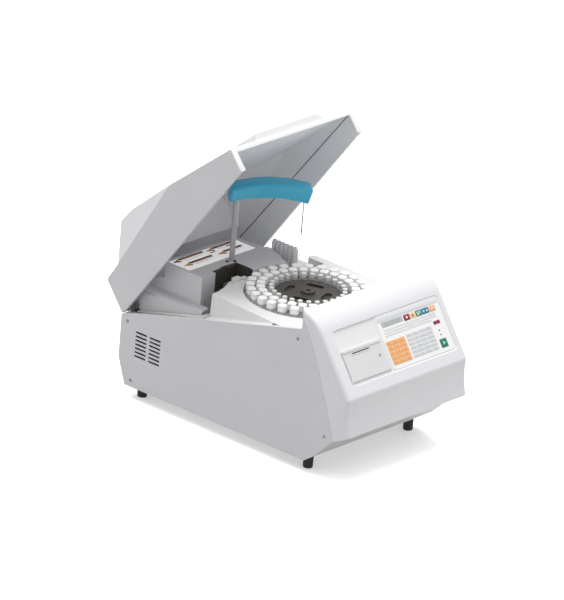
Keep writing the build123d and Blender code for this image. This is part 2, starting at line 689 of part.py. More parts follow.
# ---------------------------------------------------------------- rear platform
plat = [(-155, 253.5), (-155, 139), (-108.5, 139), (-108.5, 152.6), (-21.6, 152.6), (-21.6, 98.2)]
rim = [(0, 99.8), (30, 96.8), (55, 89.5), (76, 79.5)]
LABEL_SCREWS = [(-36.5, 169), (-20.5, 158)]
side = [(84, 103), (94, 118), (102.5, 138), (106, 162), (103, 188), (98, 214), (98, 253.5)]
with BuildPart() as rear_platform:
    with BuildSketch(Plane.XY.offset(PLAT_Z - 3)) as top:
        with BuildLine():
            Polyline(*plat)
            ThreePointArc(plat[-1], (28, 97.2), rim[-1])
            Polyline(rim[-1], side[0])
            ThreePointArc(side[0], side[3], side[5])
            Polyline(side[5], side[6], plat[0])
        make_face()
    extrude(amount=3)
    # skirt around the outline
    with BuildSketch(Plane.XY.offset(296)):
        add(top.sketch.moved(Location((0, 0, -(PLAT_Z - 3)))))
        offset(amount=-2.5, kind=Kind.INTERSECTION, mode=Mode.SUBTRACT)
    extrude(amount=42)
    # shallow step across the right-hand part of the top
    with BuildSketch(Plane.XY.offset(PLAT_Z - 1.2)):
        with BuildLine():
            Line((24, 191), (48, 187))
            ThreePointArc((48, 187), (60, 148), (70, 60))
            Polyline((70, 60), (130, 60), (130, 191), (24, 191))
        make_face()
    extrude(amount=3, mode=Mode.SUBTRACT)
    # side rail on the left, above the ledge, running on past the front corner
    with BuildSketch(Plane.XZ.offset(-139)):
        with BuildLine():
            Polyline((-155, 300), (-155, 271), (-174, 269), (-178, 266), (-178, 261), (-175.5, 261), (-175.5, 265), (-152.5, 267.6), (-152.5, 300), (-155, 300))
        make_face()
    extrude(amount=-114.5)
    with BuildSketch(Plane.XZ.offset(-113)):
        with BuildLine():
            Polyline((-152.5, 271.3), (-155, 271), (-174, 269), (-178, 266), (-178, 261), (-175.5, 261), (-175.5, 265), (-152.5, 267.6), (-152.5, 271.3))
        make_face()
    extrude(amount=-28)
    # thin wall from the rail down to just above the sloping ledge
    with BuildSketch(Plane.YZ.offset(-178)):
        with BuildLine():
            Polyline((113, 263), (113, edge_z(113) + 1.6), (253.5, edge_z(253.5) + 1.6), (253.5, 263), (113, 263))
        make_face()
    extrude(amount=2.2)
    # front wall carried down to the tray floor
    with BuildSketch(Plane.XY.offset(243.2)):
        with Locations((-131.4, 140.25)):
            Rectangle(45.8, 2.5)
    extrude(amount=54)
    # column hole and label screws
    with BuildSketch(Plane.XY.offset(PLAT_Z - 5)):
        with Locations((COL_X, COL_Y)):
            Circle(COL_R + 2.0)
        with Locations(*LABEL_SCREWS):
            Circle(2.1)
    extrude(amount=8, mode=Mode.SUBTRACT)
rear_platform.part.label = "rear_platform"
export_step(rear_platform.part, "parts/rear_platform.step")

with BuildPart() as platform_label:
    with BuildSketch(Plane.XY.offset(PLAT_Z)):
        with Locations((-33, 219)):
            RectangleRounded(228, 66, 1.5)
    extrude(amount=0.6)
platform_label.part.label = "platform_label"
export_step(platform_label.part, "parts/platform_label.step")

with BuildPart() as platform_screws:
    with BuildSketch(Plane.XY.offset(PLAT_Z - 9)):
        with Locations(*LABEL_SCREWS):
            Circle(2.0)
    extrude(amount=9)
    with BuildSketch(Plane.XY.offset(PLAT_Z)):
        with Locations(*LABEL_SCREWS):
            Circle(3.4)
    extrude(amount=2.6)
    with BuildSketch(Plane.XY.offset(PLAT_Z + 1.0)):
        with Locations(*LABEL_SCREWS):
            RegularPolygon(1.6, 6)
    extrude(amount=3, mode=Mode.SUBTRACT)
platform_screws.part.label = "platform_screws"
export_step(platform_screws.part, "parts/platform_screws.step")

# dark bracket that lines the reader notch: back plate, right cheek, stepped lower edges
with BuildPart() as reader_bracket:
    with BuildSketch(Plane.XZ.offset(-151.6)):
        with BuildLine():
            Polyline((-108, 340), (-108, 286), (-81, 286), (-81, 289), (-67, 289), (-67, 300), (-41, 300), (-41, 309),
                     (-22.4, 309), (-22.4, 341), (-60, 343), (-76, 343), (-80, 340), (-108, 340))
        make_face()
    extrude(amount=3.6)
    with BuildSketch(Plane.YZ.offset(-26)):
        with BuildLine():
            Polyline((151.6, 308), (138, 306), (122, 306), (104, 311), (101, 317), (101, 338), (106, 341), (151.6, 341), (151.6, 308))
        make_face()
    extrude(amount=3.6)
    with BuildSketch(Plane.XY.offset(336)):
        with Locations((-80, 147.6)):
            Rectangle(4, 8)
        with Locations((-50, 147)):
            Rectangle(24, 8)
    extrude(amount=5)
reader_bracket.part.label = "reader_bracket"
export_step(reader_bracket.part, "parts/reader_bracket.step")

# ---------------------------------------------------------------- carousel
with BuildPart() as carousel_rotor:
    with BuildSketch(Plane.XZ.offset(53)):
        with BuildLine():
            Polyline((8, 252), (24, 252), (24, 254), (ROTOR_R, 254), (ROTOR_R, 264), (ROTOR_R - 1.6, 264), (ROTOR_R - 1.6, 258), (73, 258), (73, 314),
                     (ROTOR_R, 314), (ROTOR_R, 318), (70, 318), (70, 258), (24, 258), (24, 318), (8, 318), (8, 252))
        make_face()
    revolve(axis=Axis((0, CY, 0), (0, 0, 1)))
    with BuildSketch(Plane.XY.offset(313)):
        with Locations((CX, CY)):
            with PolarLocations(RING_OUT, N_OUT, start_angle=PHASE):
                Circle(10.3)
            with PolarLocations(RING_IN, N_IN, start_angle=PHASE + 180 / N_IN):
                Circle(10.3)
            with PolarLocations(RING_TUBE, N_TUBE, start_angle=TUBE_PHASE):
                Circle(6.0)
    extrude(amount=6, mode=Mode.SUBTRACT)
carousel_rotor.part.label = "carousel_rotor"
export_step(carousel_rotor.part, "parts/carousel_rotor.step")

# dark hub cover with elongated finger recesses and a raised boss
with BuildPart() as carousel_hub:
    with BuildSketch(Plane.XY.offset(318)):
        with Locations((CX, CY)):
            Circle(79.5)
    extrude(amount=9)
    chamfer(carousel_hub.edges().filter_by(GeomType.CIRCLE).sort_by(Axis.Z)[-1], 1.5)
    with BuildSketch(Plane.XY.offset(321)):
        with Locations((CX, CY)):
            with PolarLocations(46, 4, start_angle=20):
                SlotOverall(44, 17, rotation=90)
    extrude(amount=7, mode=Mode.SUBTRACT)
    with BuildSketch(Plane.XY.offset(326)):
        with Locations((CX, CY)):
            Circle(17)
    extrude(amount=7)
    with BuildSketch(Plane.XY.offset(329)):
        with Locations((CX, CY)):
            Circle(6)
            with PolarLocations(11.5, 3):
                Circle(1.8)
    extrude(amount=5, mode=Mode.SUBTRACT)
carousel_hub.part.label = "carousel_hub"
export_step(carousel_hub.part, "parts/carousel_hub.step")

with BuildPart() as bottle_form:
    with BuildSketch(Plane.XZ):
        with BuildLine():
            Polyline((0, 258), (9.2, 258), (9.8, 258.6), (9.8, 319), (6.5, 323), (6.5, 338), (0, 338), (0, 258))
        make_face()
    revolve(axis=Axis.Z)
with BuildPart() as cap_form:
    with BuildSketch(Plane.XY.offset(326)):
        RectangleRounded(20.4, 20.4, 7.4)
        Circle(7.0, mode=Mode.SUBTRACT)
    extrude(amount=12)
    with BuildSketch(Plane.XY.offset(338)):
        RectangleRounded(20.4, 20.4, 7.4)
    extrude(amount=3)
    fillet(cap_form.faces().sort_by(Axis.Z)[-1].edges(), 1.6)
    with BuildSketch(Plane.XY.offset(339.8)):
        Circle(3.2)
    extrude(amount=2, mode=Mode.SUBTRACT)
with BuildPart() as tube_form:
    with BuildSketch(Plane.XZ):
        with BuildLine():
            Polyline((0, 258), (4, 258), (5.6, 262), (5.6, 331), (0, 331), (0, 258))
        make_face()
    revolve(axis=Axis.Z)
with BuildPart() as stopper_form:
    with BuildSketch(Plane.XZ):
        with BuildLine():
            Polyline((0, 331), (5.9, 331), (5.9, 339.4), (5.2, 340.4), (2.6, 340.4), (2.0, 339.4), (0, 339.4), (0, 331))
        make_face()
    revolve(axis=Axis.Z)

ring_spots = []
for n, r, a0 in ((N_OUT, RING_OUT, PHASE), (N_IN, RING_IN, PHASE + 180 / N_IN)):
    for i in range(n):
        a = a0 + 360 * i / n
        ring_spots.append(Location((CX + r * cos(radians(a)), CY + r * sin(radians(a)), 0), (0, 0, a)))
tube_angles = [TUBE_PHASE + 360 * i / N_TUBE for i in range(N_TUBE)]
tube_spots = [Location((CX + RING_TUBE * cos(radians(a)), CY + RING_TUBE * sin(radians(a)), 0), (0, 0, a)) for a in tube_angles]

with BuildPart() as reagent_bottles:
    with Locations(*ring_spots):
        add(bottle_form.part)
reagent_bottles.part.label = "reagent_bottles"
export_step(reagent_bottles.part, "parts/reagent_bottles.step")
with BuildPart() as bottle_caps:
    with Locations(*ring_spots):
        add(cap_form.part)
bottle_caps.part.label = "bottle_caps"
export_step(bottle_caps.part, "parts/bottle_caps.step")
with BuildPart() as sample_tubes:
    with Locations(*tube_spots):
        add(tube_form.part)
sample_tubes.part.label = "sample_tubes"
export_step(sample_tubes.part, "parts/sample_tubes.step")
with BuildPart() as tube_stoppers:
    with Locations(*tube_spots):
        add(stopper_form.part)
tube_stoppers.part.label = "tube_stoppers"
export_step(tube_stoppers.part, "parts/tube_stoppers.step")

# shaft with the driven toothless belt wheel
with BuildPart() as carousel_shaft:
    with BuildSketch(Plane.XZ.offset(53)):
        with BuildLine():
            Polyline((0, 164), (8, 164), (8, 174), (42.5, 174), (42.5, 175.6), (PULLEY_R, 175.6), (PULLEY_R, 188.4), (42.5, 188.4), (42.5, 190),
                     (14, 190), (14, 193), (8, 193), (8, 318), (0, 318), (0, 164))
        make_face()
    revolve(axis=Axis((0, CY, 0), (0, 0, 1)))
carousel_shaft.part.label = "carousel_shaft"
export_step(carousel_shaft.part, "parts/carousel_shaft.step")

with BuildPart() as bearing_housing:
    with BuildSketch(Plane.XY.offset(200)):
        with Locations((CX, CY)):
            Circle(38)
            with PolarLocations(31, 4, start_angle=45):
                Circle(2.7, mode=Mode.SUBTRACT)
            Circle(8.06, mode=Mode.SUBTRACT)
    extrude(amount=5)
    with BuildSketch(Plane.XY.offset(205)):
        with Locations((CX, CY)):
            Circle(23)
            Circle(8.06, mode=Mode.SUBTRACT)
    extrude(amount=32)
bearing_housing.part.label = "bearing_housing"
export_step(bearing_housing.part, "parts/bearing_housing.step")

# folded bridge that carries the carousel bearing and its motor
with BuildPart() as drive_bridge:
    with BuildSketch(Plane.XZ.offset(-60)):
        with BuildLine():
            Polyline((-172, 33), (-147, 33), (-147, 197), (147, 197), (147, 33), (172, 33), (172, 36), (150, 36), (150, 200), (-150, 200), (-150, 36), (-172, 36), (-172, 33))
        make_face()
    extrude(amount=230)
    with BuildSketch(Plane.XY.offset(190)):
        with Locations((CX, CY)):
            Circle(18)
        with Locations((MOT_X, MOT_Y)):
            Circle(13)
            with GridLocations(31, 31, 2, 2):
                Circle(1.7)
    extrude(amount=14, mode=Mode.SUBTRACT)
    with BuildSketch(Plane.YZ.offset(-180)):
        with Locations((-55, 112)):
            RectangleRounded(150, 90, 12)
    extrude(amount=360, mode=Mode.SUBTRACT)
drive_bridge.part.label = "drive_bridge"
export_step(drive_bridge.part, "parts/drive_bridge.step")

with BuildPart() as drive_motor:
    with BuildSketch(Plane.XY.offset(200)):
        with Locations((MOT_X, MOT_Y)):
            RectangleRounded(42, 42, 4)
    extrude(amount=34)
    with BuildSketch(Plane.XY.offset(196)):
        with Locations((MOT_X, MOT_Y)):
            Circle(11)
    extrude(amount=4)
    with BuildSketch(Plane.XY.offset(195)):
        with Locations((MOT_X, MOT_Y)):
            Circle(2.55)
    extrude(amount=30, mode=Mode.SUBTRACT)
    with BuildSketch(Plane.XY.offset(208)):
        with Locations((MOT_X, MOT_Y)):
            Rectangle(44, 44)
            RectangleRounded(40.4, 40.4, 4, mode=Mode.SUBTRACT)
    extrude(amount=17, mode=Mode.SUBTRACT)
drive_motor.part.label = "drive_motor"
export_step(drive_motor.part, "parts/drive_motor.step")

with BuildPart() as motor_pulley:
    with BuildSketch(Plane.XY.offset(170)):
        with Locations((MOT_X, MOT_Y)):
            Circle(2.5)
    extrude(amount=54)
    for z0, h, r in ((174, 1.6, 12.5), (175.6, 12.8, PINION_R), (188.4, 1.6, 12.5), (190, 3, 6)):
        with BuildSketch(Plane.XY.offset(z0)):
            with Locations((MOT_X, MOT_Y)):
                Circle(r)
        extrude(amount=h)
motor_pulley.part.label = "motor_pulley"
export_step(motor_pulley.part, "parts/motor_pulley.step")

with BuildPart() as drive_belt:
    with BuildSketch(Plane.XY.offset(177)):
        with Locations((CX, CY)):
            Circle(PULLEY_R + 1.7)
        with Locations((MOT_X, MOT_Y)):
            Circle(PINION_R + 1.7)
        make_hull()
    extrude(amount=10)
    with BuildSketch(Plane.XY.offset(176)):
        with Locations((CX, CY)):
            Circle(PULLEY_R + 0.3)
        with Locations((MOT_X, MOT_Y)):
            Circle(PINION_R + 0.3)
        make_hull()
    extrude(amount=12, mode=Mode.SUBTRACT)
drive_belt.part.label = "drive_belt"
export_step(drive_belt.part, "parts/drive_belt.step")

# ---------------------------------------------------------------- arm and lift
RODS = [(18, 163), (18, 207)]
SCREW = (54, 185)
with BuildPart() as lift_tower:
    with BuildSketch(Plane.YZ.offset(-36)):
        with BuildLine():
            Polyline((156, 33), (230, 33), (230, 324), (156, 324), (156, 318), (226, 318), (226, 39), (156, 39), (156, 33))
        make_face()
    extrude(amount=118)
    with BuildSketch(Plane.XY.offset(310)):
        with Locations((COL_X, COL_Y)):
            Circle(COL_R + 0.8)
    extrude(amount=20, mode=Mode.SUBTRACT)
    with BuildSketch(Plane.XZ.offset(-240)):
        with Locations((23, 178)):
            RectangleRounded(70, 200, 14)
    extrude(amount=20, mode=Mode.SUBTRACT)
lift_tower.part.label = "lift_tower"
export_step(lift_tower.part, "parts/lift_tower.step")

with BuildPart() as column_bushing:
    with BuildSketch(Plane.XY.offset(324)):
        with Locations((COL_X, COL_Y)):
            Circle(14)
            Circle(COL_R + 0.05, mode=Mode.SUBTRACT)
    extrude(amount=4)
    with BuildSketch(Plane.XY.offset(328)):
        with Locations((COL_X, COL_Y)):
            Circle(10)
            Circle(COL_R + 0.05, mode=Mode.SUBTRACT)
    extrude(amount=8.6)
column_bushing.part.label = "column_bushing"
export_step(column_bushing.part, "parts/column_bushing.step")

with BuildPart() as lift_rods:
    with BuildSketch(Plane.XY.offset(39)):
        with Locations(*RODS):
            Circle(5)
        with Locations(SCREW):
            Circle(4)
    extrude(amount=279)
lift_rods.part.label = "lift_rods"
export_step(lift_rods.part, "parts/lift_rods.step")

with BuildPart() as lift_carriage:
    with BuildSketch(Plane.XY.offset(230)):
        with Locations((21, 184)):
            RectangleRounded(116, 64, 5)
        with Locations(*RODS):
            Circle(5.06, mode=Mode.SUBTRACT)
        with Locations(SCREW):
            Circle(5, mode=Mode.SUBTRACT)
        with Locations((COL_X, COL_Y)):
            Circle(5.1, mode=Mode.SUBTRACT)
    extrude(amount=6)
    with BuildSketch(Plane.XY.offset(222)):
        with Locations(*RODS):
            Circle(8)
            Circle(5.06, mode=Mode.SUBTRACT)
    extrude(amount=26)
lift_carriage.part.label = "lift_carriage"
export_step(lift_carriage.part, "parts/lift_carriage.step")

# hollow motor whose nut climbs the fixed screw
with BuildPart() as lift_motor:
    with BuildSketch(Plane.XY.offset(200)):
        with Locations(SCREW):
            RectangleRounded(42, 42, 4)
            Circle(4.4, mode=Mode.SUBTRACT)
    extrude(amount=30)
lift_motor.part.label = "lift_motor"
export_step(lift_motor.part, "parts/lift_motor.step")

# column: spigot and flange on the carriage, tube up to the arm with a bore for the swing shaft
with BuildPart() as arm_column:
    with BuildSketch(Plane.XZ.offset(-COL_Y)):
        with BuildLine():
            Polyline((COL_X, 230), (COL_X + 5, 230), (COL_X + 5, 236), (COL_X + 13, 236), (COL_X + 13, 241), (COL_X + COL_R, 241),
                     (COL_X + COL_R, 506.5), (COL_X + 3.06, 506.5), (COL_X + 3.06, 488), (COL_X, 488), (COL_X, 230))
        make_face()
    revolve(axis=Axis((COL_X, COL_Y, 0), (0, 0, 1)))
arm_column.part.label = "arm_column"
export_step(arm_column.part, "parts/arm_column.step")

ARM_ANG = degrees(atan2(TIP_Y - COL_Y, TIP_X - COL_X))
REACH = hypot(TIP_X - COL_X, TIP_Y - COL_Y)
ARM = Plane(origin=(COL_X, COL_Y, 0), x_dir=(cos(radians(ARM_ANG)), sin(radians(ARM_ANG)), 0), z_dir=(0, 0, 1))
ARM_SIDE = Plane(origin=(COL_X, COL_Y, 0), x_dir=(cos(radians(ARM_ANG)), sin(radians(ARM_ANG)), 0),
                 z_dir=(sin(radians(ARM_ANG)), -cos(radians(ARM_ANG)), 0))
ARM_W = 50.0

# base plate of the arm with the probe block at its end
with BuildPart() as arm_beam:
    with BuildSketch(ARM.offset(507)):
        with Locations(((REACH - 5.5) / 2, 0)):
            RectangleRounded(REACH + 24.5, ARM_W - 8, 8)
    extrude(amount=4)
    with BuildSketch(ARM.offset(511)):
        with Locations((REACH - 5, 0)):
            Rectangle(14, 16)
        with Locations((REACH / 2 + 4, 0)):
            Rectangle(52, 20)
    extrude(amount=8)
    with BuildSketch(ARM.offset(500)):
        Circle(3.2)
        with Locations((REACH, 0)):
            Circle(1.35)
    extrude(amount=14, mode=Mode.SUBTRACT)
arm_beam.part.label = "arm_beam"
export_step(arm_beam.part, "parts/arm_beam.step")

# flat motor on the plate, its shaft held in the top of the column
with BuildPart() as swing_motor:
    with BuildSketch(ARM.offset(511)):
        RectangleRounded(30, 30, 3)
    extrude(amount=11)
    with BuildSketch(ARM.offset(489)):
        Circle(3.0)
    extrude(amount=22)
swing_motor.part.label = "swing_motor"
export_step(swing_motor.part, "parts/swing_motor.step")

# arched cover, open below
with BuildPart() as arm_cover:
    with BuildSketch(ARM_SIDE.offset(-ARM_W / 2)):
        with BuildLine():
            Line((-19.5, 493.5), (-19.5, 527))
            ThreePointArc((-19.5, 527), (REACH / 2, ARM_CROWN), (REACH + 19.5, 527))
            Line((REACH + 19.5, 527), (REACH + 9, 490.5))
            ThreePointArc((REACH + 9, 490.5), (REACH / 2, 506), (-19.5, 493.5))
        make_face()
    extrude(amount=ARM_W)
    fillet(arm_cover.edges().filter_by(lambda e: e.length > 60 and e.center().Z > 520), 11)
    fillet(arm_cover.edges().filter_by(Plane.XY).filter_by(GeomType.LINE).filter_by(lambda e: e.length > 10 and e.center().Z > 515), 9)
    with BuildSketch(ARM_SIDE.offset(-ARM_W / 2 + 2.5)):
        with BuildLine():
            Polyline((-17, 470), (-17, 513), (-12, 518))
            ThreePointArc((-12, 518), (REACH / 2, ARM_CROWN - 11), (REACH + 9, 518))
            Polyline((REACH + 9, 518), (REACH + 12.4, 512), (REACH + 6.2, 490), (REACH + 6.2, 470), (-17, 470))
        make_face()
    extrude(amount=ARM_W - 5, mode=Mode.SUBTRACT)
    # pocket over the motor
    with BuildSketch(ARM.offset(505)):
        Rectangle(31.4, 31.4)
    extrude(amount=17.8, mode=Mode.SUBTRACT)
arm_cover.part.label = "arm_cover"
export_step(arm_cover.part, "parts/arm_cover.step")

# probe: guide sleeve above, thin needle below
with BuildPart() as probe_needle:
    with BuildSketch(ARM.offset(406)):
        with Locations((REACH, 0)):
            Circle(1.9)
    extrude(amount=101)
    with BuildSketch(ARM.offset(346)):
        with Locations((REACH, 0)):
            Circle(0.9)
    extrude(amount=62)
    with BuildSketch(ARM.offset(507)):
        with Locations((REACH, 0)):
            Circle(1.3)
    extrude(amount=6)
probe_needle.part.label = "probe_needle"
export_step(probe_needle.part, "parts/probe_needle.step")

# wash bore for the probe
with BuildPart() as wash_station:
    with BuildSketch(Plane.XY.offset(190)):
        with Locations((TIP_X, TIP_Y)):
            Circle(9.2)
    extrude(amount=111)
    with BuildSketch(Plane.XY.offset(295)):
        with Locations((TIP_X, TIP_Y)):
            Circle(13)
        with Locations((CX, CY)):
            Circle(WELL_R + 3.2, mode=Mode.SUBTRACT)
    extrude(amount=3)
    with BuildSketch(Plane.XY.offset(298)):
        with Locations((TIP_X, TIP_Y)):
            Circle(8)
    extrude(amount=20)
    with BuildSketch(Plane.XY.offset(194)):
        with Locations((TIP_X, TIP_Y)):
            Circle(5)
    extrude(amount=140, mode=Mode.SUBTRACT)
wash_station.part.label = "wash_station"
export_step(wash_station.part, "parts/wash_station.step")

# cuvette rack: six joined cells with open tops
with BuildPart() as cuvette_rack:
    with BuildSketch(Plane.XY.offset(295)):
        with Locations((132, 138)):
            Rectangle(8, 76)
        with Locations(*[(129, 106.3 + 12.7 * i) for i in range(6)]):
            Circle(6.1)
    extrude(amount=55.5)
    with BuildSketch(Plane.XY.offset(350)):
        with Locations(*[(130.5, 106.3 + 12.7 * i) for i in range(6)]):
            Circle(5.6)
    extrude(amount=4.5)
    with BuildSketch(Plane.XY.offset(318)):
        with Locations(*[(130.5, 106.3 + 12.7 * i) for i in range(6)]):
            Circle(4.4)
    extrude(amount=50, mode=Mode.SUBTRACT)
cuvette_rack.part.label = "cuvette_rack"
export_step(cuvette_rack.part, "parts/cuvette_rack.step")

# ---------------------------------------------------------------- lid
chain = [(LID_FRONT, 404), (10, 407), (193, 410.5), (249, 402.5), (273, 312), (327.5, 296), (330, 207.5)]
rel = [(y - HY, z - HZ) for y, z in chain]
G, H, A = (HALF_W, 273, 312), (HALF_W, 10, 407), (165.0, 249, 402.5)


def facet(side, t):
    """Cutting plane of the leaning corner facet, moved in by t."""
    g, h, a = (Vector(*lid_point(side * p[0], p[1], p[2])) for p in (G, H, A))
    n = (h - g).cross(a - g).normalized()
    if n.X * side < 0:
        n = n * -1
    return Plane(origin=g - n * t, z_dir=n)


def lid_form(t, front, low):
    """Solid bounded by the lid's outside moved in by t, open ends reaching front and low."""
    c = inset(rel, t) if t else list(rel)
    if t:
        c[0] = (front - HY, c[0][1] - (c[1][1] - c[0][1]) / (c[1][0] - c[0][0]) * (c[0][0] - (front - HY)))
        tail = [(c[-1][0], low - HZ), (front - HY, low - HZ)]
    else:
        tail = [(316 - HY, edge_z(316) + 2.2 - HZ), (LID_FRONT - HY, edge_z(LID_FRONT) + 2.2 - HZ)]
    with BuildPart() as form:
        with BuildSketch(LID_SIDE.offset(-HALF_W + t)):
            with BuildLine():
                Polyline(*c, *tail, c[0])
            make_face()
        extrude(amount=2 * (HALF_W - t))
        split(bisect_by=facet(-1, t), keep=Keep.BOTTOM)
        split(bisect_by=facet(1, t), keep=Keep.BOTTOM)
    return form.part


lid_outside = lid_form(0, 0, 0)
lid_middle = lid_form(LID_SKIN, -240, 100)
lid_middle_2 = lid_form(LID_SKIN + 0.3, -240, 100)
lid_inside = lid_form(LID_WALL, -240, 100)

# recess around each hinge barrel
with BuildPart() as hinge_recess:
    with BuildSketch(LID_SIDE.offset(-196)):
        Circle(6.6)
    extrude(amount=40)
    with BuildSketch(LID_SIDE.offset(156)):
        Circle(6.6)
    extrude(amount=40)

with BuildPart() as lid_shell:
    add(lid_outside)
    # raised grip in the middle of the front edge
    with BuildSketch(LID_TOP.offset(400 - HZ)):
        with Locations((0, -167.5 - HY)):
            Rectangle(244, 94.5)
    with BuildSketch(LID_TOP.offset(421 - HZ)):
        with Locations((0, -175.5 - HY)):
            Rectangle(210, 71)
    loft()
    add(lid_middle, mode=Mode.SUBTRACT)
    add(hinge_recess.part, mode=Mode.SUBTRACT)
lid_shell.part.label = "lid_shell"
export_step(lid_shell.part, "parts/lid_shell.step")

with BuildPart() as lid_liner:
    add(lid_outside)
    add(lid_inside, mode=Mode.SUBTRACT)
    add(lid_middle_2, mode=Mode.INTERSECT)
    add(hinge_recess.part, mode=Mode.SUBTRACT)
lid_liner.part.label = "lid_liner"
export_step(lid_liner.part, "parts/lid_liner.step")

# white frame around the lid's mouth
fz = edge_z(LID_FRONT) + 2.2 - HZ
with BuildPart() as lid_rim:
    with BuildSketch(LID_FACE.offset(HY - LID_FRONT)):
        with BuildLine():
            Polyline((-HALF_W, fz), (-HALF_W, 404 - HZ), (HALF_W, 404 - HZ), (HALF_W, fz), (HALF_W - 16, fz), (HALF_W - 16, 392 - HZ),
                     (-HALF_W + 16, 392 - HZ), (-HALF_W + 16, fz), (-HALF_W, fz))
        make_face()
    extrude(amount=3)
    fillet(lid_rim.edges().filter_by(lambda e: abs(e.length - 3) < 0.01), 1.4)
lid_rim.part.label = "lid_rim"
export_step(lid_rim.part, "parts/lid_rim.step")

# ---------------------------------------------------------------- hinges
with BuildPart() as hinge_blocks:
    for x0 in (-192, 160):
        with BuildSketch(Plane.XY.offset(199.5)):
            with Locations((x0 + 16, 317.5)):
                Rectangle(32, 18)
        extrude(amount=1.3)
        for x1 in (x0, x0 + 24):
            with BuildSketch(Plane.YZ.offset(x1)):
                with Locations((HY, HZ)):
                    Circle(5)
                with Locations((318.5, 202.6)):
                    Rectangle(17, 6)
            extrude(amount=8)
        # pressed-in pin that joins the two knuckles
        with BuildSketch(Plane.YZ.offset(x0)):
            with Locations((HY, HZ)):
                Circle(2.5)
        extrude(amount=32)
hinge_blocks.part.label = "hinge_blocks"
export_step(hinge_blocks.part, "parts/hinge_blocks.step")

with BuildPart() as hinge_leaves:
    for x0 in (-183.5, 168.5):
        with BuildSketch(LID_SIDE.offset(x0)):
            Circle(5)
            with BuildLine():
                Polyline((-5, 0), (-5, 44), (-1.9, 44), (-0.7, 6), (-0.7, 0), (-5, 0))
            make_face()
            Circle(2.56, mode=Mode.SUBTRACT)
        extrude(amount=15)
        with BuildSketch(LID_SIDE.offset(x0 - 8)):
            with BuildLine():
                Polyline((-5, 9), (-5, 44), (-1.9, 44), (-0.8, 9), (-5, 9))
            make_face()
        extrude(amount=31)
hinge_leaves.part.label = "hinge_leaves"
export_step(hinge_leaves.part, "parts/hinge_leaves.step")

# ---------------------------------------------------------------- electrics in the base
with BuildPart() as power_supply:
    with BuildSketch(Plane.XY.offset(39)):
        with Locations((136, 222)):
            Rectangle(96, 150)
    extrude(amount=50)
    with BuildSketch(Plane.XY.offset(33)):
        with Locations((136, 222)):
            with GridLocations(80, 130, 2, 2):
                Circle(4)
    extrude(amount=6)
    with BuildSketch(Plane.XY.offset(88)):
        with Locations((136, 222)):
            with GridLocations(9, 0, 8, 1):
                SlotOverall(100, 4, rotation=90)
    extrude(amount=2, mode=Mode.SUBTRACT)
power_supply.part.label = "power_supply"
export_step(power_supply.part, "parts/power_supply.step")

with BuildPart() as main_board:
    with BuildSketch(Plane.XY.offset(45)):
        with Locations((-120, 180)):
            Rectangle(150, 220)
    extrude(amount=1.6)
    with BuildSketch(Plane.XY.offset(33)):
        with Locations((-120, 180)):
            with GridLocations(138, 208, 2, 2):
                Circle(3)
    extrude(amount=12)
    with BuildSketch(Plane.XY.offset(46.6)):
        with Locations((-130, 180), (-90, 130), (-160, 120), (-90, 230)):
            Rectangle(28, 28)
        with Locations((-165, 250), (-150, 262)):
            Rectangle(10, 22)
    extrude(amount=4)
    with BuildSketch(Plane.XY.offset(46.6)):
        with Locations((-60, 170), (-60, 190), (-60, 210)):
            Rectangle(10, 16)
        with Locations((-120, 90), (-104, 90), (-88, 90)):
            Circle(6)
    extrude(amount=11)
main_board.part.label = "main_board"
export_step(main_board.part, "parts/main_board.step")
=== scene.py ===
import math
import random

import bmesh
import bpy
from mathutils import Matrix, Vector


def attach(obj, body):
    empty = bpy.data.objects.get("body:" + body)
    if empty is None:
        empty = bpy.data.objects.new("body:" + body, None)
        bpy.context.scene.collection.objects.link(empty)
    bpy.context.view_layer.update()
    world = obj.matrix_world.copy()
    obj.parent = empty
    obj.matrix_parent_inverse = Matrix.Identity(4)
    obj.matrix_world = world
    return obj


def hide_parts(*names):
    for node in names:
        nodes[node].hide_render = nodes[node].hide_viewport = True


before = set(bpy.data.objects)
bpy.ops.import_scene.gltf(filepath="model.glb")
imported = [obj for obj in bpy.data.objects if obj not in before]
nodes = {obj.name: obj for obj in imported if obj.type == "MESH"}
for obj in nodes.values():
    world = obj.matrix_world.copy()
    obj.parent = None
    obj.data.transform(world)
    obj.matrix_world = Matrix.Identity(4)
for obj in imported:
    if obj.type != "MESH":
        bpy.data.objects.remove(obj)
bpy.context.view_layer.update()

random.seed(7)
rad = math.radians
SA, CA = math.sin(rad(54.7)), math.cos(rad(54.7))
FAS_Y, FAS_Z = -375.7, 215.2
HY, HZ, OPEN = 322.0, 206.0, rad(40.1)
CX, CY = 0.0, -53.0


# ------------------------------------------------------------------ placing
def mm(p):
    return Vector(p) * 0.001


def fascia(x, s, h):
    """Point on the sloping fascia: x across, s up the slope, h above its skin (mm)."""
    return mm((x, FAS_Y + CA * s - SA * h, FAS_Z + SA * s + CA * h))


def lid_point(x, y, z):
    """Where a point of the shut lid is on the raised lid (mm)."""
    so, co = math.sin(OPEN), math.cos(OPEN)
    return mm((x, HY + (y - HY) * co + (z - HZ) * so, HZ - (y - HY) * so + (z - HZ) * co))


# ------------------------------------------------------------------ materials
def socket(node, *names):
    for n in names:
        if n in node.inputs:
            return node.inputs[n]
    raise KeyError(names)


def base_material(name, rough, metallic=0.0, specular=0.5):
    m = bpy.data.materials.new(name)
    m.use_nodes = True
    nt = m.node_tree
    b = nt.nodes["Principled BSDF"]
    b.inputs["Roughness"].default_value = rough
    b.inputs["Metallic"].default_value = metallic
    socket(b, "Specular IOR Level").default_value = specular
    return m, nt, b


def link(nt, a, b):
    nt.links.new(a, b)


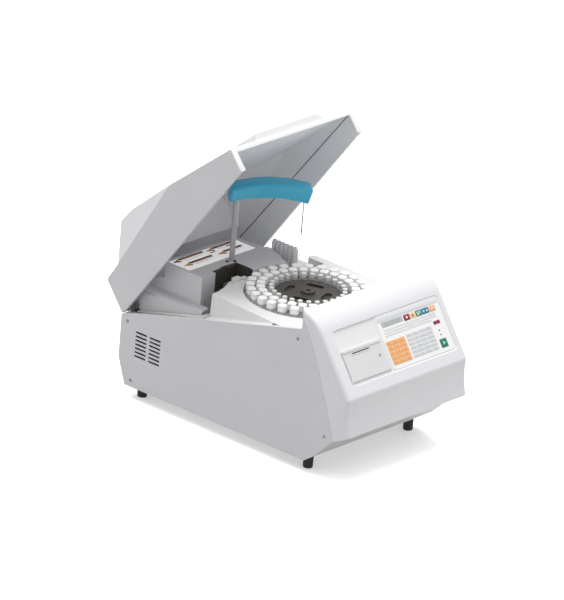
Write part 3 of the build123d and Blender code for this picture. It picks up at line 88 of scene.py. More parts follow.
def noise(nt, co, scale, detail=3.0, rough=0.5, stretch=None):
    if stretch:
        mp = nt.nodes.new("ShaderNodeMapping")
        mp.inputs["Scale"].default_value = stretch
        link(nt, co, mp.inputs["Vector"])
        co = mp.outputs["Vector"]
    n = nt.nodes.new("ShaderNodeTexNoise")
    n.inputs["Scale"].default_value = scale
    n.inputs["Detail"].default_value = detail
    n.inputs["Roughness"].default_value = rough
    link(nt, co, n.inputs["Vector"])
    return n.outputs["Fac"]


def ramp(nt, fac, stops):
    r = nt.nodes.new("ShaderNodeValToRGB")
    e = r.color_ramp.elements
    while len(e) < len(stops):
        e.new(0.5)
    for el, (pos, col) in zip(e, stops):
        el.position = pos
        el.color = (*col, 1.0)
    link(nt, fac, r.inputs["Fac"])
    return r.outputs["Color"]


def spread(nt, fac, a0, a1, b0, b1):
    r = nt.nodes.new("ShaderNodeMapRange")
    for k, v in (("From Min", a0), ("From Max", a1), ("To Min", b0), ("To Max", b1)):
        r.inputs[k].default_value = v
    link(nt, fac, r.inputs["Value"])
    return r.outputs["Result"]


def maths(nt, op, a, b):
    n = nt.nodes.new("ShaderNodeMath")
    n.operation = op
    for i, v in enumerate((a, b)):
        if isinstance(v, (int, float)):
            n.inputs[i].default_value = v
        else:
            link(nt, v, n.inputs[i])
    return n.outputs["Value"]


def mix(nt, fac, a, b):
    n = nt.nodes.new("ShaderNodeMix")
    n.data_type = "RGBA"
    link(nt, fac, n.inputs["Factor"])
    for i, v in ((6, a), (7, b)):
        if isinstance(v, tuple):
            n.inputs[i].default_value = (*v, 1.0)
        else:
            link(nt, v, n.inputs[i])
    return n.outputs[2]


def edge_mask(nt, radius):
    """1 near sharp edges, 0 on flat faces."""
    bv = nt.nodes.new("ShaderNodeBevel")
    bv.samples = 4
    bv.inputs["Radius"].default_value = radius
    geo = nt.nodes.new("ShaderNodeNewGeometry")
    dot = nt.nodes.new("ShaderNodeVectorMath")
    dot.operation = "DOT_PRODUCT"
    link(nt, bv.outputs["Normal"], dot.inputs[0])
    link(nt, geo.outputs["Normal"], dot.inputs[1])
    return spread(nt, dot.outputs["Value"], 0.998, 0.86, 0.0, 1.0)


def shade(c, k):
    return tuple(max(0.0, min(1.0, v * k)) for v in c)


def hexc(h, k=1.0):
    v = [int(h[i:i + 2], 16) / 255 for i in (1, 3, 5)]
    return tuple((((x + 0.055) / 1.055) ** 2.4 if x > 0.04045 else x / 12.92) * k for x in v)


def bump(nt, b, height, strength, distance):
    n = nt.nodes.new("ShaderNodeBump")
    n.inputs["Strength"].default_value = strength
    n.inputs["Distance"].default_value = distance
    link(nt, height, n.inputs["Height"])
    link(nt, n.outputs["Normal"], b.inputs["Normal"])
    return n


def coated(name, col, rough=0.42, grain=700.0, depth=0.00012, vary=0.035, wear=0.5, worn=1.12, metallic=0.0,
           specular=0.5, coat=0.0, dust=0.35, tint=None):
    """Painted or moulded surface: broad tone drift, fine grain, handling haze, rubbed edges, settled dust."""
    m, nt, b = base_material(name, rough, metallic, specular)
    co = nt.nodes.new("ShaderNodeTexCoord").outputs["Object"]
    broad = noise(nt, co, 5.5, 3.0, 0.55)
    fine = noise(nt, co, 90.0, 4.0, 0.6)
    tone = ramp(nt, broad, [(0.32, shade(col, 1 - vary)), (0.68, shade(col, 1 + vary * 0.6))])
    speck = ramp(nt, fine, [(0.38, shade(tint or col, 1 - vary * 1.3)), (0.62, shade(tint or col, 1 + vary * 0.5))])
    half = spread(nt, fine, 0.35, 0.65, 0.15, 0.42)
    colour = mix(nt, half, tone, speck)
    if dust:
        # a little dust lies on faces that look up
        geo = nt.nodes.new("ShaderNodeNewGeometry")
        sep = nt.nodes.new("ShaderNodeSeparateXYZ")
        link(nt, geo.outputs["Normal"], sep.inputs[0])
        up = spread(nt, sep.outputs["Z"], 0.75, 1.0, 0.0, 0.07 * dust)
        colour = mix(nt, maths(nt, "MULTIPLY", up, spread(nt, fine, 0.4, 0.7, 0.3, 1.0)), colour, (0.62, 0.60, 0.56))
    if wear:
        e = edge_mask(nt, 0.0011)
        chip = spread(nt, noise(nt, co, 160.0, 3.0, 0.6), 0.42, 0.62, 0.25, 1.0)
        colour = mix(nt, maths(nt, "MULTIPLY", maths(nt, "MULTIPLY", e, chip), wear), colour, shade(col, worn))
    link(nt, colour, b.inputs["Base Color"])
    haze = spread(nt, noise(nt, co, 14.0, 4.0, 0.62), 0.3, 0.7, rough - 0.07, rough + 0.09)
    link(nt, haze, b.inputs["Roughness"])
    g = noise(nt, co, grain, 2.0, 0.5)
    bump(nt, b, g, 0.35, depth)
    if coat:
        b.inputs["Coat Weight"].default_value = coat
        b.inputs["Coat Roughness"].default_value = 0.12
    return m


def metal(name, col, rough=0.3, brush=None, scale=220.0, wear=0.35, vary=0.10):
    """Bare or plated metal with a lay of fine lines and slight staining."""
    m, nt, b = base_material(name, rough, 1.0, 0.5)
    co = nt.nodes.new("ShaderNodeTexCoord").outputs["Object"]
    broad = noise(nt, co, 18.0, 4.0, 0.6)
    lines = noise(nt, co, scale, 3.0, 0.6, brush or (1.0, 1.0, 1.0))
    tone = ramp(nt, broad, [(0.3, shade(col, 1 - vary)), (0.7, shade(col, 1 + vary * 0.5))])
    colour = mix(nt, spread(nt, lines, 0.35, 0.65, 0.0, 0.35), tone, shade(col, 1 - 2 * vary))
    if wear:
        colour = mix(nt, maths(nt, "MULTIPLY", edge_mask(nt, 0.0008), wear), colour, shade(col, 1.25))
    link(nt, colour, b.inputs["Base Color"])
    link(nt, spread(nt, lines, 0.3, 0.7, rough - 0.07, rough + 0.12), b.inputs["Roughness"])
    bump(nt, b, lines, 0.25, 0.00008)
    return m


def rubber(name, col=(0.018, 0.018, 0.02), rough=0.72):
    m, nt, b = base_material(name, rough, 0.0, 0.35)
    co = nt.nodes.new("ShaderNodeTexCoord").outputs["Object"]
    n1 = noise(nt, co, 60.0, 4.0, 0.6)
    n2 = noise(nt, co, 900.0, 2.0, 0.5)
    link(nt, ramp(nt, n1, [(0.35, shade(col, 0.75)), (0.7, shade(col, 1.9))]), b.inputs["Base Color"])
    link(nt, spread(nt, n1, 0.3, 0.7, rough - 0.1, rough + 0.1), b.inputs["Roughness"])
    bump(nt, b, n2, 0.5, 0.00015)
    return m


def clear(name, col, rough=0.08, transmission=0.85, ior=1.49):
    """Thin translucent plastic or glass with faint cloudiness."""
    m, nt, b = base_material(name, rough, 0.0, 0.5)
    co = nt.nodes.new("ShaderNodeTexCoord").outputs["Object"]
    n1 = noise(nt, co, 120.0, 3.0, 0.5)
    link(nt, ramp(nt, n1, [(0.35, shade(col, 0.9)), (0.65, shade(col, 1.05))]), b.inputs["Base Color"])
    link(nt, spread(nt, n1, 0.3, 0.7, rough, rough + 0.08), b.inputs["Roughness"])
    b.inputs["Transmission Weight"].default_value = transmission
    b.inputs["IOR"].default_value = ior
    bump(nt, b, n1, 0.1, 0.0001)
    return m


def paper(name, col=(0.86, 0.85, 0.80)):
    m, nt, b = base_material(name, 0.8, 0.0, 0.3)
    co = nt.nodes.new("ShaderNodeTexCoord").outputs["Object"]
    n1 = noise(nt, co, 500.0, 5.0, 0.65)
    layers = noise(nt, co, 900.0, 1.0, 0.4, (0.05, 1.0, 1.0))
    link(nt, mix(nt, spread(nt, layers, 0.4, 0.6, 0.0, 0.5),
                 ramp(nt, n1, [(0.35, shade(col, 0.95)), (0.65, col)]), shade(col, 0.82)), b.inputs["Base Color"])
    link(nt, spread(nt, n1, 0.3, 0.7, 0.7, 0.9), b.inputs["Roughness"])
    bump(nt, b, n1, 0.3, 0.00008)
    return m


def board(name):
    """Circuit board: green mask with lighter copper tracks under it."""
    m, nt, b = base_material(name, 0.32, 0.0, 0.5)
    co = nt.nodes.new("ShaderNodeTexCoord").outputs["Object"]
    v = nt.nodes.new("ShaderNodeTexVoronoi")
    v.distance = "MANHATTAN"
    v.feature = "F1"
    v.inputs["Scale"].default_value = 190.0
    link(nt, co, v.inputs["Vector"])
    tracks = spread(nt, v.outputs["Distance"], 0.42, 0.5, 0.0, 1.0)
    n1 = noise(nt, co, 40.0, 3.0, 0.5)
    mask = ramp(nt, n1, [(0.3, (0.006, 0.10, 0.035)), (0.7, (0.01, 0.135, 0.05))])
    link(nt, mix(nt, tracks, mask, (0.03, 0.24, 0.09)), b.inputs["Base Color"])
    link(nt, spread(nt, n1, 0.3, 0.7, 0.26, 0.42), b.inputs["Roughness"])
    bump(nt, b, tracks, 0.3, 0.0001)
    return m


def lcd(name):
    """Unlit grey-green display: fine cell grid with rows of blank character cells."""
    m, nt, b = base_material(name, 0.18, 0.0, 0.55)
    co = nt.nodes.new("ShaderNodeTexCoord").outputs["Object"]
    n1 = noise(nt, co, 30.0, 2.0, 0.5)
    br = nt.nodes.new("ShaderNodeTexBrick")
    br.offset = 0.0
    br.inputs["Scale"].default_value = 260.0
    br.inputs["Mortar Size"].default_value = 0.06
    link(nt, co, br.inputs["Vector"])
    tone = ramp(nt, n1, [(0.3, hexc("#BCBFBE")), (0.7, hexc("#C9CCCA"))])
    link(nt, mix(nt, spread(nt, br.outputs["Fac"], 0.0, 1.0, 0.0, 0.35), tone, hexc("#A9ADAB")), b.inputs["Base Color"])
    link(nt, spread(nt, n1, 0.3, 0.7, 0.14, 0.26), b.inputs["Roughness"])
    b.inputs["Coat Weight"].default_value = 0.4
    bump(nt, b, br.outputs["Fac"], 0.1, 0.00005)
    return m


PANEL = coated("panel_paint", hexc("#DADADD"), rough=0.46, tint=hexc("#D8D8DC"), vary=0.022, worn=1.06)
LIDPAINT = coated("lid_paint", hexc("#DBDBDD"), rough=0.44, tint=hexc("#D9D9DC"), vary=0.022, worn=1.06)
BASE = coated("base_paint", hexc("#CFCFD0"), rough=0.5, vary=0.04, worn=1.08)
REAR = coated("rear_paint", hexc("#D6D6D9"), rough=0.46, vary=0.03, worn=1.06)
WHITE = coated("white_moulding", hexc("#E4E4E6"), rough=0.36, grain=950.0, depth=0.00008, vary=0.014, worn=1.03, coat=0.1)
RIM = coated("white_rim", hexc("#F6F6F6"), rough=0.36, grain=950.0, depth=0.00008, vary=0.018, worn=1.05)
FASC = coated("fascia_panel_finish", hexc("#E8E8E9"), rough=0.42, grain=900.0, depth=0.00008, vary=0.014, worn=1.03)
DOOR = coated("door_finish", hexc("#DCDCDD"), rough=0.40, grain=900.0, depth=0.00010, vary=0.014, worn=1.04)
FILM = coated("membrane_film", hexc("#F3F3F3"), rough=0.34, grain=1500.0, depth=0.00005, vary=0.01, wear=0.1, worn=1.02)
LINER = coated("liner_finish", hexc("#F1F1F3"), rough=0.52, grain=600.0, depth=0.00014, vary=0.022, worn=1.05)
DECK = coated("deck_finish", hexc("#E2E2E1"), rough=0.44, vary=0.018, worn=1.04)
TRAY = coated("tray_finish", hexc("#E0E0E0"), rough=0.46, vary=0.022, worn=1.05)
PLAT = coated("platform_finish", hexc("#D0CFD1"), rough=0.47, vary=0.024, worn=1.06)
HUB = coated("hub_finish", hexc("#3E3B37"), rough=0.42, grain=500.0, depth=0.00015, vary=0.08, worn=1.6, wear=0.45)
ROTOR = coated("rotor_finish", hexc("#9A9A9C"), rough=0.44, vary=0.05, worn=1.2)
BRACKET = coated("bracket_finish", hexc("#45413A"), rough=0.46, vary=0.12, worn=1.6, wear=0.5)
BLACK = coated("black_plastic", (0.016, 0.016, 0.018), rough=0.38, vary=0.15, worn=2.6, wear=0.4)
BLUE = coated("blue_hood", hexc("#30ADD2"), rough=0.34, grain=1100.0, depth=0.00006, vary=0.03, worn=1.12, wear=0.3, coat=0.25, dust=0.0)
CAP = coated("cap_white", hexc("#F8F8F7"), rough=0.36, grain=900.0, depth=0.00006, vary=0.012, worn=1.02, wear=0.2, dust=0.0)
BOTTLE = clear("bottle_plastic", (0.90, 0.91, 0.90), rough=0.3, transmission=0.3)
TUBE = clear("tube_plastic", (0.86, 0.88, 0.86), rough=0.14, transmission=0.4)
STOPPER = coated("stopper_finish", hexc("#E4E5E2"), rough=0.5, vary=0.04, wear=0.2, dust=0.0)
RACK = coated("rack_finish", hexc("#E4E4E6"), rough=0.46, vary=0.04, worn=1.08)
GREYP = coated("grey_plastic", hexc("#7D7E82"), rough=0.45, vary=0.05)
BAY = coated("bay_plastic", hexc("#3A3B3D"), rough=0.5, vary=0.08, worn=1.5)
COLUMN = coated("column_finish", hexc("#B4B4B7"), rough=0.38, grain=900.0, depth=0.00006, vary=0.04, worn=1.08, coat=0.2)
STEEL = metal("bright_steel", (0.62, 0.62, 0.63), rough=0.22, brush=(0.15, 1.0, 1.0), scale=600.0)
NEEDLE = metal("needle_steel", (0.34, 0.34, 0.35), rough=0.3, brush=(1.0, 1.0, 0.08), scale=900.0, wear=0.0)
ZINC = metal("zinc_plate", (0.56, 0.57, 0.58), rough=0.36, scale=55.0, vary=0.16)
ALU = metal("cast_aluminium", (0.60, 0.61, 0.62), rough=0.38, scale=420.0, vary=0.06)
MOTOR = coated("motor_black", (0.03, 0.03, 0.033), rough=0.45, metallic=0.3, vary=0.12, worn=2.4)
SCREW = coated("screw_finish", hexc("#8F9094"), rough=0.42, grain=900.0, depth=0.00006, vary=0.08, worn=1.2, metallic=0.4, dust=0.0)
RUBBER = rubber("foot_rubber")
BELT = rubber("belt_rubber", (0.025, 0.025, 0.026), 0.8)
PAPER = paper("thermal_paper")
BOARD = board("board_mask")
LCD = lcd("display_glass")
LABEL_GLOW = coated("label_stock_glowing", hexc("#F7F7F6"), rough=0.4, grain=1500.0, depth=0.00004, vary=0.012, wear=0.1, worn=1.01, dust=0.0)
# painted light: the label stock glows faintly (emission) so it reads bright in the shade under the raised lid
LABEL_GLOW.node_tree.nodes["Principled BSDF"].inputs["Emission Color"].default_value = (1.0, 0.99, 0.97, 1.0)
LABEL_GLOW.node_tree.nodes["Principled BSDF"].inputs["Emission Strength"].default_value = 0.28
LOCK = coated("lock_finish", hexc("#A8A9AC"), rough=0.34, grain=900.0, depth=0.00006, vary=0.05, worn=1.15, coat=0.2)

finish_of = {
    "base_pan": BASE, "rubber_feet": RUBBER, "side_panel_left": PANEL, "side_panel_right": PANEL,
    "panel_screws": SCREW, "rear_panel": REAR, "power_inlet": BLACK, "switch_frame": BLACK, "power_rocker": BLACK,
    "signal_ports": STEEL, "cooling_fan": BLACK, "fan_guard": STEEL, "fan_rotor": BLACK, "front_cover": WHITE,
    "fascia_panel": FASC, "keypad_membrane": FILM, "display_window": LCD, "printer_door": DOOR, "door_lock": LOCK,
    "printer_bay": BAY, "platen_roller": RUBBER, "roll_spindle": GREYP, "paper_roll": PAPER, "deck_tray": DECK,
    "service_tray": TRAY, "rear_platform": PLAT, "platform_label": LABEL_GLOW, "platform_screws": BLACK,
    "reader_bracket": BRACKET, "carousel_rotor": ROTOR, "carousel_hub": HUB, "reagent_bottles": BOTTLE,
    "bottle_caps": CAP, "sample_tubes": TUBE, "tube_stoppers": STOPPER, "carousel_shaft": STEEL,
    "bearing_housing": ALU, "drive_bridge": ZINC, "drive_motor": MOTOR, "motor_pulley": ALU, "drive_belt": BELT,
    "lift_tower": ZINC, "column_bushing": GREYP, "lift_rods": STEEL, "lift_carriage": ALU, "lift_motor": MOTOR,
    "swing_motor": MOTOR, "arm_column": COLUMN, "arm_beam": ALU, "arm_cover": BLUE, "probe_needle": NEEDLE,
    "wash_station": GREYP, "cuvette_rack": RACK, "lid_shell": LIDPAINT, "lid_liner": LINER, "lid_rim": RIM,
    "hinge_blocks": ZINC, "hinge_leaves": ZINC, "power_supply": ZINC, "main_board": BOARD,
}
# radius in mm of the eased edges of the frame's pieces
ease = {
    "side_panel_left": 0.7, "side_panel_right": 0.7, "rear_panel": 0.5, "base_pan": 0.6, "front_cover": 0.9,
    "fascia_panel": 0.7, "printer_door": 1.3, "deck_tray": 0.7, "service_tray": 0.5, "rear_platform": 0.8,
    "reader_bracket": 0.5, "cuvette_rack": 0.4, "lid_shell": 2.2, "lid_liner": 0.6, "lid_rim": 0.7,
    "arm_cover": 0.5, "keypad_membrane": 0.2, "display_window": 0.2, "platform_label": 0.15, "hinge_blocks": 0.3,
    "hinge_leaves": 0.3, "carousel_hub": 0.5, "carousel_rotor": 0.3, "lift_tower": 0.4, "drive_bridge": 0.4,
    "power_supply": 0.5, "power_inlet": 0.3, "switch_frame": 0.3, "printer_bay": 0.3, "door_lock": 0.2,
    "arm_beam": 0.4, "rubber_feet": 0.3, "lift_carriage": 0.4, "swing_motor": 0.6, "lift_motor": 0.6,
    "drive_motor": 0.4, "bearing_housing": 0.4, "wash_station": 0.3, "column_bushing": 0.4, "main_board": 0.1,
    "power_rocker": 0.3, "cooling_fan": 0.3, "fan_rotor": 0.3, "fan_guard": 0.3, "signal_ports": 0.2,
    "tube_stoppers": 0.0, "panel_screws": 0.12, "platform_screws": 0.2,
}
for name, obj in nodes.items():
    mat = finish_of.get(name, GREYP)
    if not obj.material_slots:
        obj.data.materials.append(mat)
    for s in obj.material_slots:
        s.material = mat
    if ease.get(name):
        w = obj.modifiers.new("join", "WELD")
        w.merge_threshold = 1e-5
        d = obj.modifiers.new("flat", "DECIMATE")
        d.decimate_type = "DISSOLVE"
        d.angle_limit = rad(0.3)
        b = obj.modifiers.new("ease", "BEVEL")
        b.width = ease[name] * 0.001
        b.segments = 3 if ease[name] > 1.0 else 2
        b.limit_method = "ANGLE"
        b.angle_limit = rad(32)
        b.use_clamp_overlap = True
        b.harden_normals = True


# ------------------------------------------------------------------ piece building
def finished(name, bm, mat, body, smooth=True, smooth_angle=35.0):
    me = bpy.data.meshes.new(name)
    bmesh.ops.remove_doubles(bm, verts=bm.verts, dist=1e-7)
    bmesh.ops.recalc_face_normals(bm, faces=bm.faces)
    bm.to_mesh(me)
    bm.free()
    mats = mat if isinstance(mat, (list, tuple)) else [mat]
    for k in mats:
        me.materials.append(k)
    if smooth:
        me.shade_smooth()
        me.set_sharp_from_angle(angle=rad(smooth_angle))
    o = bpy.data.objects.new(name, me)
    bpy.context.scene.collection.objects.link(o)
    if body:
        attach(o, body)
    return o


def rounded(x0, x1, y0, y1, r, seg=4):
    """Outline of a rectangle with rounded corners, anticlockwise."""
    r = min(r, (x1 - x0) / 2 - 1e-4, (y1 - y0) / 2 - 1e-4)
    out = []
    for cx, cy, a in ((x1 - r, y1 - r, 0), (x0 + r, y1 - r, 90), (x0 + r, y0 + r, 180), (x1 - r, y0 + r, 270)):
        for i in range(seg + 1):
            t = rad(a + 90 * i / seg)
            out.append((cx + r * math.cos(t), cy + r * math.sin(t)))
    return out


def shrink(pts, d):
    """Outline moved inwards by d (short, roughly convex outlines)."""
    n = len(pts)
    out = []
    for i in range(n):
        ax, ay = pts[i - 1]
        bx, by = pts[i]
        cx, cy = pts[(i + 1) % n]
        d1 = Vector((bx - ax, by - ay))
        d2 = Vector((cx - bx, cy - by))
        t = (d1.normalized() + d2.normalized())
        if t.length < 1e-9:
            out.append((bx, by))
            continue
        t.normalize()
        out.append((bx - t.y * d, by + t.x * d))
    return out


def stack(bm, rings, place, mat=0, close_bottom=True):
    """Solid from rings [(outline, height)...] of equal point counts, closed at both ends."""
    loops = [[bm.verts.new(place(x, y, h)) for x, y in pts] for pts, h in rings]
    n = len(loops[0])
    faces = []
    for a, b in zip(loops, loops[1:]):
        for i in range(n):
            faces.append(bm.faces.new((a[i], a[(i + 1) % n], b[(i + 1) % n], b[i])))
    faces.append(bm.faces.new(loops[-1]))
    if close_bottom:
        faces.append(bm.faces.new(loops[0][::-1]))
    for f in faces:
        f.material_index = mat
    return loops


def tile(bm, x0, x1, y0, y1, h0, h1, place, r=1.2, edge=0.35, mat=0, seg=4):
    """Low pad with a rounded outline and an eased upper edge."""
    o = rounded(x0, x1, y0, y1, r, seg)
    mid = h1 - min(edge, (h1 - h0) * 0.7)
    stack(bm, [(o, h0), (o, mid), (shrink(o, edge * 0.35), h1 - (h1 - mid) * 0.3), (shrink(o, edge), h1)], place, mat)


def lathe(bm, profile, centre, axis="Z", seg=32, mat=0, start=0.0):
    """Closed turned solid; profile [(radius, along)...] in mm starts and ends on the axis or stays a ring."""
    def at(r, h, t):
        c, s = math.cos(t), math.sin(t)
        x, y, z = centre
        if axis == "Z":
            return mm((x + r * c, y + r * s, z + h))
        if axis == "Y":
            return mm((x + r * c, y + h, z + r * s))
        return mm((x + h, y + r * c, z + r * s))
    rings = []
    for r, h in profile:
        if r < 1e-6:
            rings.append([bm.verts.new(at(0, h, 0))])
        else:
            rings.append([bm.verts.new(at(r, h, start + 2 * math.pi * i / seg)) for i in range(seg)])
    for a, b in zip(rings, rings[1:]):
        for i in range(seg):
            j = (i + 1) % seg
            if len(a) == 1 and len(b) > 1:
                f = bm.faces.new((a[0], b[j], b[i]))
            elif len(b) == 1 and len(a) > 1:
                f = bm.faces.new((a[i], a[j], b[0]))
            elif len(a) > 1:
                f = bm.faces.new((a[i], a[j], b[j], b[i]))
            else:
                continue
            f.material_index = mat
    return rings


# ------------------------------------------------------------------ keypad
def flat(name, h, rough=0.32, vary=0.05, k=1.0):
    return coated(name, hexc(h, k), rough=rough, grain=1400.0, depth=0.00005, vary=vary, wear=0.25, worn=1.15, dust=0.0, coat=0.1)


K_ORANGE = flat("key_orange", "#EDB076")
K_PEACH = flat("key_peach", "#EFB58A")
K_RED = flat("key_red", "#8A1D3A")
K_GREEN = flat("key_green", "#1A7D66")
K_BLUE = flat("key_blue", "#2B7FA6")
K_YELLOW = flat("key_yellow", "#EFCFA0")
K_GREY = flat("key_grey", "#D5D6D8")
K_PALE = flat("key_pale", "#DEDFE0")
K_WHITE = flat("key_mark_white", "#F2F2F0")
K_DARK = flat("key_mark_dark", "#6A6460")
K_MID = flat("key_mark_mid", "#BBBDC0")
FILM_TOP = -1.4

bm = bmesh.new()
for r in range(5):
    for c in range(3):
        x0 = -24.4 + c * 21.6
        s0 = 42.6 + r * 11.5
        tile(bm, x0 - 0.3, x0 + 20.9, s0 - 0.2, s0 + 10.9, FILM_TOP - 0.1, FILM_TOP + 0.55, fascia, 1.0, 0.3)
finished("keys_number_block", bm, K_ORANGE, "chassis")

bm = bmesh.new()
for r in range(6):
    for c in range(4):
        x0 = 45.5 + c * 22.6
        s0 = 43.2 + r * 9.9
        tile(bm, x0 - 0.4, x0 + 21.6, s0, s0 + 8.8, FILM_TOP - 0.1, FILM_TOP + 0.5, fascia, 0.9, 0.3)
finished("keys_function_block", bm, K_GREY, "chassis")

bm = bmesh.new()
for r in range(3):
    for c in range(18):
        x0 = -17.0 + c * 10.05
        s0 = 110.0 + r * 6.4
        if r == 0 and c > 15:
            continue
        tile(bm, x0, x0 + 9.2, s0, s0 + 5.6, FILM_TOP - 0.1, FILM_TOP + 0.4, fascia, 0.9, 0.3)
finished("keys_small_rows", bm, K_PALE, "chassis")

icons = [("icon_red", 60.4, 80.6, K_RED), ("icon_yellow", 81.4, 101.6, K_YELLOW), ("icon_green", 102.4, 122.6, K_GREEN),
         ("icon_blue", 123.4, 147.4, K_BLUE), ("icon_orange", 148.4, 169.8, K_PEACH)]
for nm, x0, x1, mt in icons:
    bm = bmesh.new()
    tile(bm, x0, x1, 130.4, 144.4, FILM_TOP - 0.1, FILM_TOP + 0.55, fascia, 1.6, 0.4)
    finished(nm, bm, mt, "chassis")

bm = bmesh.new()
tile(bm, 146.2, 157.0, 99.2, 107.6, FILM_TOP - 0.1, FILM_TOP + 0.55, fascia, 1.2, 0.4)
tile(bm, 157.6, 168.2, 99.2, 107.6, FILM_TOP - 0.1, FILM_TOP + 0.55, fascia, 1.2, 0.4)
finished("keys_stop_pair", bm, K_RED, "chassis")
bm = bmesh.new()
tile(bm, 143.4, 166.4, 42.4, 63.4, FILM_TOP - 0.1, FILM_TOP + 0.7, fascia, 2.2, 0.5)
finished("key_start", bm, K_GREEN, "chassis")

# plain marks on the keys: dots, bars, arrows
H = FILM_TOP + 0.5
bm = bmesh.new()


def mark(x0, x1, s0, s1, h=H, r=0.3):
    tile(bm, x0, x1, s0, s1, h, h + 0.16, fascia, r, 0.06, seg=2)


def blob(cx, cs, r, h=H):
    pts = [(cx + r * math.cos(rad(30 * i)), cs + r * math.sin(rad(30 * i))) for i in range(12)]
    stack(bm, [(pts, h), (pts, h + 0.12), (shrink(pts, 0.08), h + 0.16)], fascia)


def wedge(cx, cs, r, turn=0, h=H):
    pts = [(cx + r * math.cos(rad(turn + 120 * i)), cs + r * math.sin(rad(turn + 120 * i))) for i in range(3)]
    stack(bm, [(pts, h), (pts, h + 0.12), (shrink(pts, 0.1), h + 0.16)], fascia)


blob(70.5, 137.6, 3.2)
mark(105.6, 119.4, 139.6, 141.0)
mark(105.6, 119.4, 136.6, 138.0)
mark(105.6, 114.0, 133.6, 135.0)
wedge(130.2, 137.4, 3.6, 180)
wedge(140.8, 137.4, 3.6, 0)
mark(153.6, 164.6, 136.4, 138.4)
wedge(154.9, 53.0, 4.6, 0, FILM_TOP + 0.66)
finished("marks_white", bm, K_WHITE, "chassis")

bm = bmesh.new()
mark(85.6, 97.4, 136.6, 138.4)
mark(90.6, 92.4, 132.6, 142.4)
for r in range(5):
    for c in range(3):
        cx, cs = -24.4 + c * 21.6 + 10.3, 42.6 + r * 11.5 + 5.3
        if r == 0 and c != 1:
            mark(cx - 3.4, cx + 3.4, cs - 0.6, cs + 0.6)
        else:
            blob(cx, cs, 1.25)
finished("marks_dark", bm, K_DARK, "chassis")
bm = bmesh.new()
for r in range(6):
    for c in range(4):
        cx, cs = 45.5 + c * 22.6 + 10.6, 43.2 + r * 9.9 + 4.4
        w = (6.2, 4.4, 7.2, 5.2, 6.6)[(r * 3 + c) % 5]
        mark(cx - w, cx + w, cs + 0.5, cs + 1.3, FILM_TOP + 0.45)
        if (r + c) % 3 != 1:
            mark(cx - w * 0.7, cx + w * 0.7, cs - 1.7, cs - 0.9, FILM_TOP + 0.45)
finished("marks_mid", bm, K_MID, "chassis")

# grey head band of the film, widened up to the window's top edge in a grey that is painted shade cast by that edge, and
# the soft edging that closes the film's margin
bm = bmesh.new()
tile(bm, -27.6, 183.6, 146.0, 159.7, FILM_TOP - 0.1, FILM_TOP + 0.12, fascia, 3.5, 0.05)
finished("film_head_band_painted_shade", bm, flat("film_band_painted_shade", "#DCDDE0", rough=0.36, vary=0.02), "chassis")
bm = bmesh.new()
inner = rounded(-28.0, 184.0, 33.0, 160.0, 5.0, 6)
outer = rounded(-33.2, 188.5, 27.8, 163.0, 8.0, 6)
fall = [-1.6 if (x > 186 or y > 161) else -3.5 for x, y in outer]
loops = [[bm.verts.new(fascia(x, y, -3.55)) for x, y in outer],
         [bm.verts.new(fascia(x, y, h)) for (x, y), h in zip(outer, fall)],
         [bm.verts.new(fascia(x, y, -1.45)) for x, y in inner],
         [bm.verts.new(fascia(x, y, -2.15)) for x, y in inner]]
for a, b in zip(loops, loops[1:] + loops[:1]):
    for i in range(len(a)):
        j = (i + 1) % len(a)
        bm.faces.new((a[i], a[j], b[j], b[i]))
finished("film_edging", bm, FASC, "chassis")

# two lamps in the film
for nm, s, col in (("lamp_ready", 84.0, "#6E8A7C"), ("lamp_alarm", 73.5, "#8C7470")):
    bm = bmesh.new()
    n = Vector((0, -SA, CA))
    prof = [(0.0, FILM_TOP - 0.1), (2.2, FILM_TOP - 0.1), (2.2, FILM_TOP + 0.3), (1.9, FILM_TOP + 0.65), (1.2, FILM_TOP + 0.9), (0.0, FILM_TOP + 1.0)]
    rings = []
    for r, h in prof:
        if r == 0:
            rings.append([bm.verts.new(fascia(156, s, h))])
        else:
            rings.append([bm.verts.new(fascia(156 + r * math.cos(rad(22.5 * i)), s + r * math.sin(rad(22.5 * i)), h)) for i in range(16)])
    for a, b in zip(rings, rings[1:]):
        for i in range(16):
            j = (i + 1) % 16
            if len(a) == 1:
                bm.faces.new((a[0], b[i], b[j]))
            elif len(b) == 1:
                bm.faces.new((a[i], a[j], b[0]))
            else:
                bm.faces.new((a[i], a[j], b[j], b[i]))
    finished(nm, bm, coated(nm + "_lens", hexc(col), rough=0.15, vary=0.05, wear=0.0, dust=0.0, coat=0.6), "chassis")

# character cells on the display
bm = bmesh.new()
for r in range(2):
    for c in range(20):
        if (c * 7 + r * 5) % 6 == 0:
            continue
        x0 = -13.2 + c * 3.35
        s0 = 134.4 + r * 4.7
        tile(bm, x0, x0 + 2.3, s0, s0 + 3.2, -1.25, -1.12, fascia, 0.25, 0.06, seg=2)
finished("display_cells", bm, coated("display_cell_ink", hexc("#9DA2A0"), rough=0.3, vary=0.05, wear=0.0, dust=0.0), "chassis")


# ------------------------------------------------------------------ label on the rear platform
def flat_top(x, y, h):
    return mm((x, y, h))


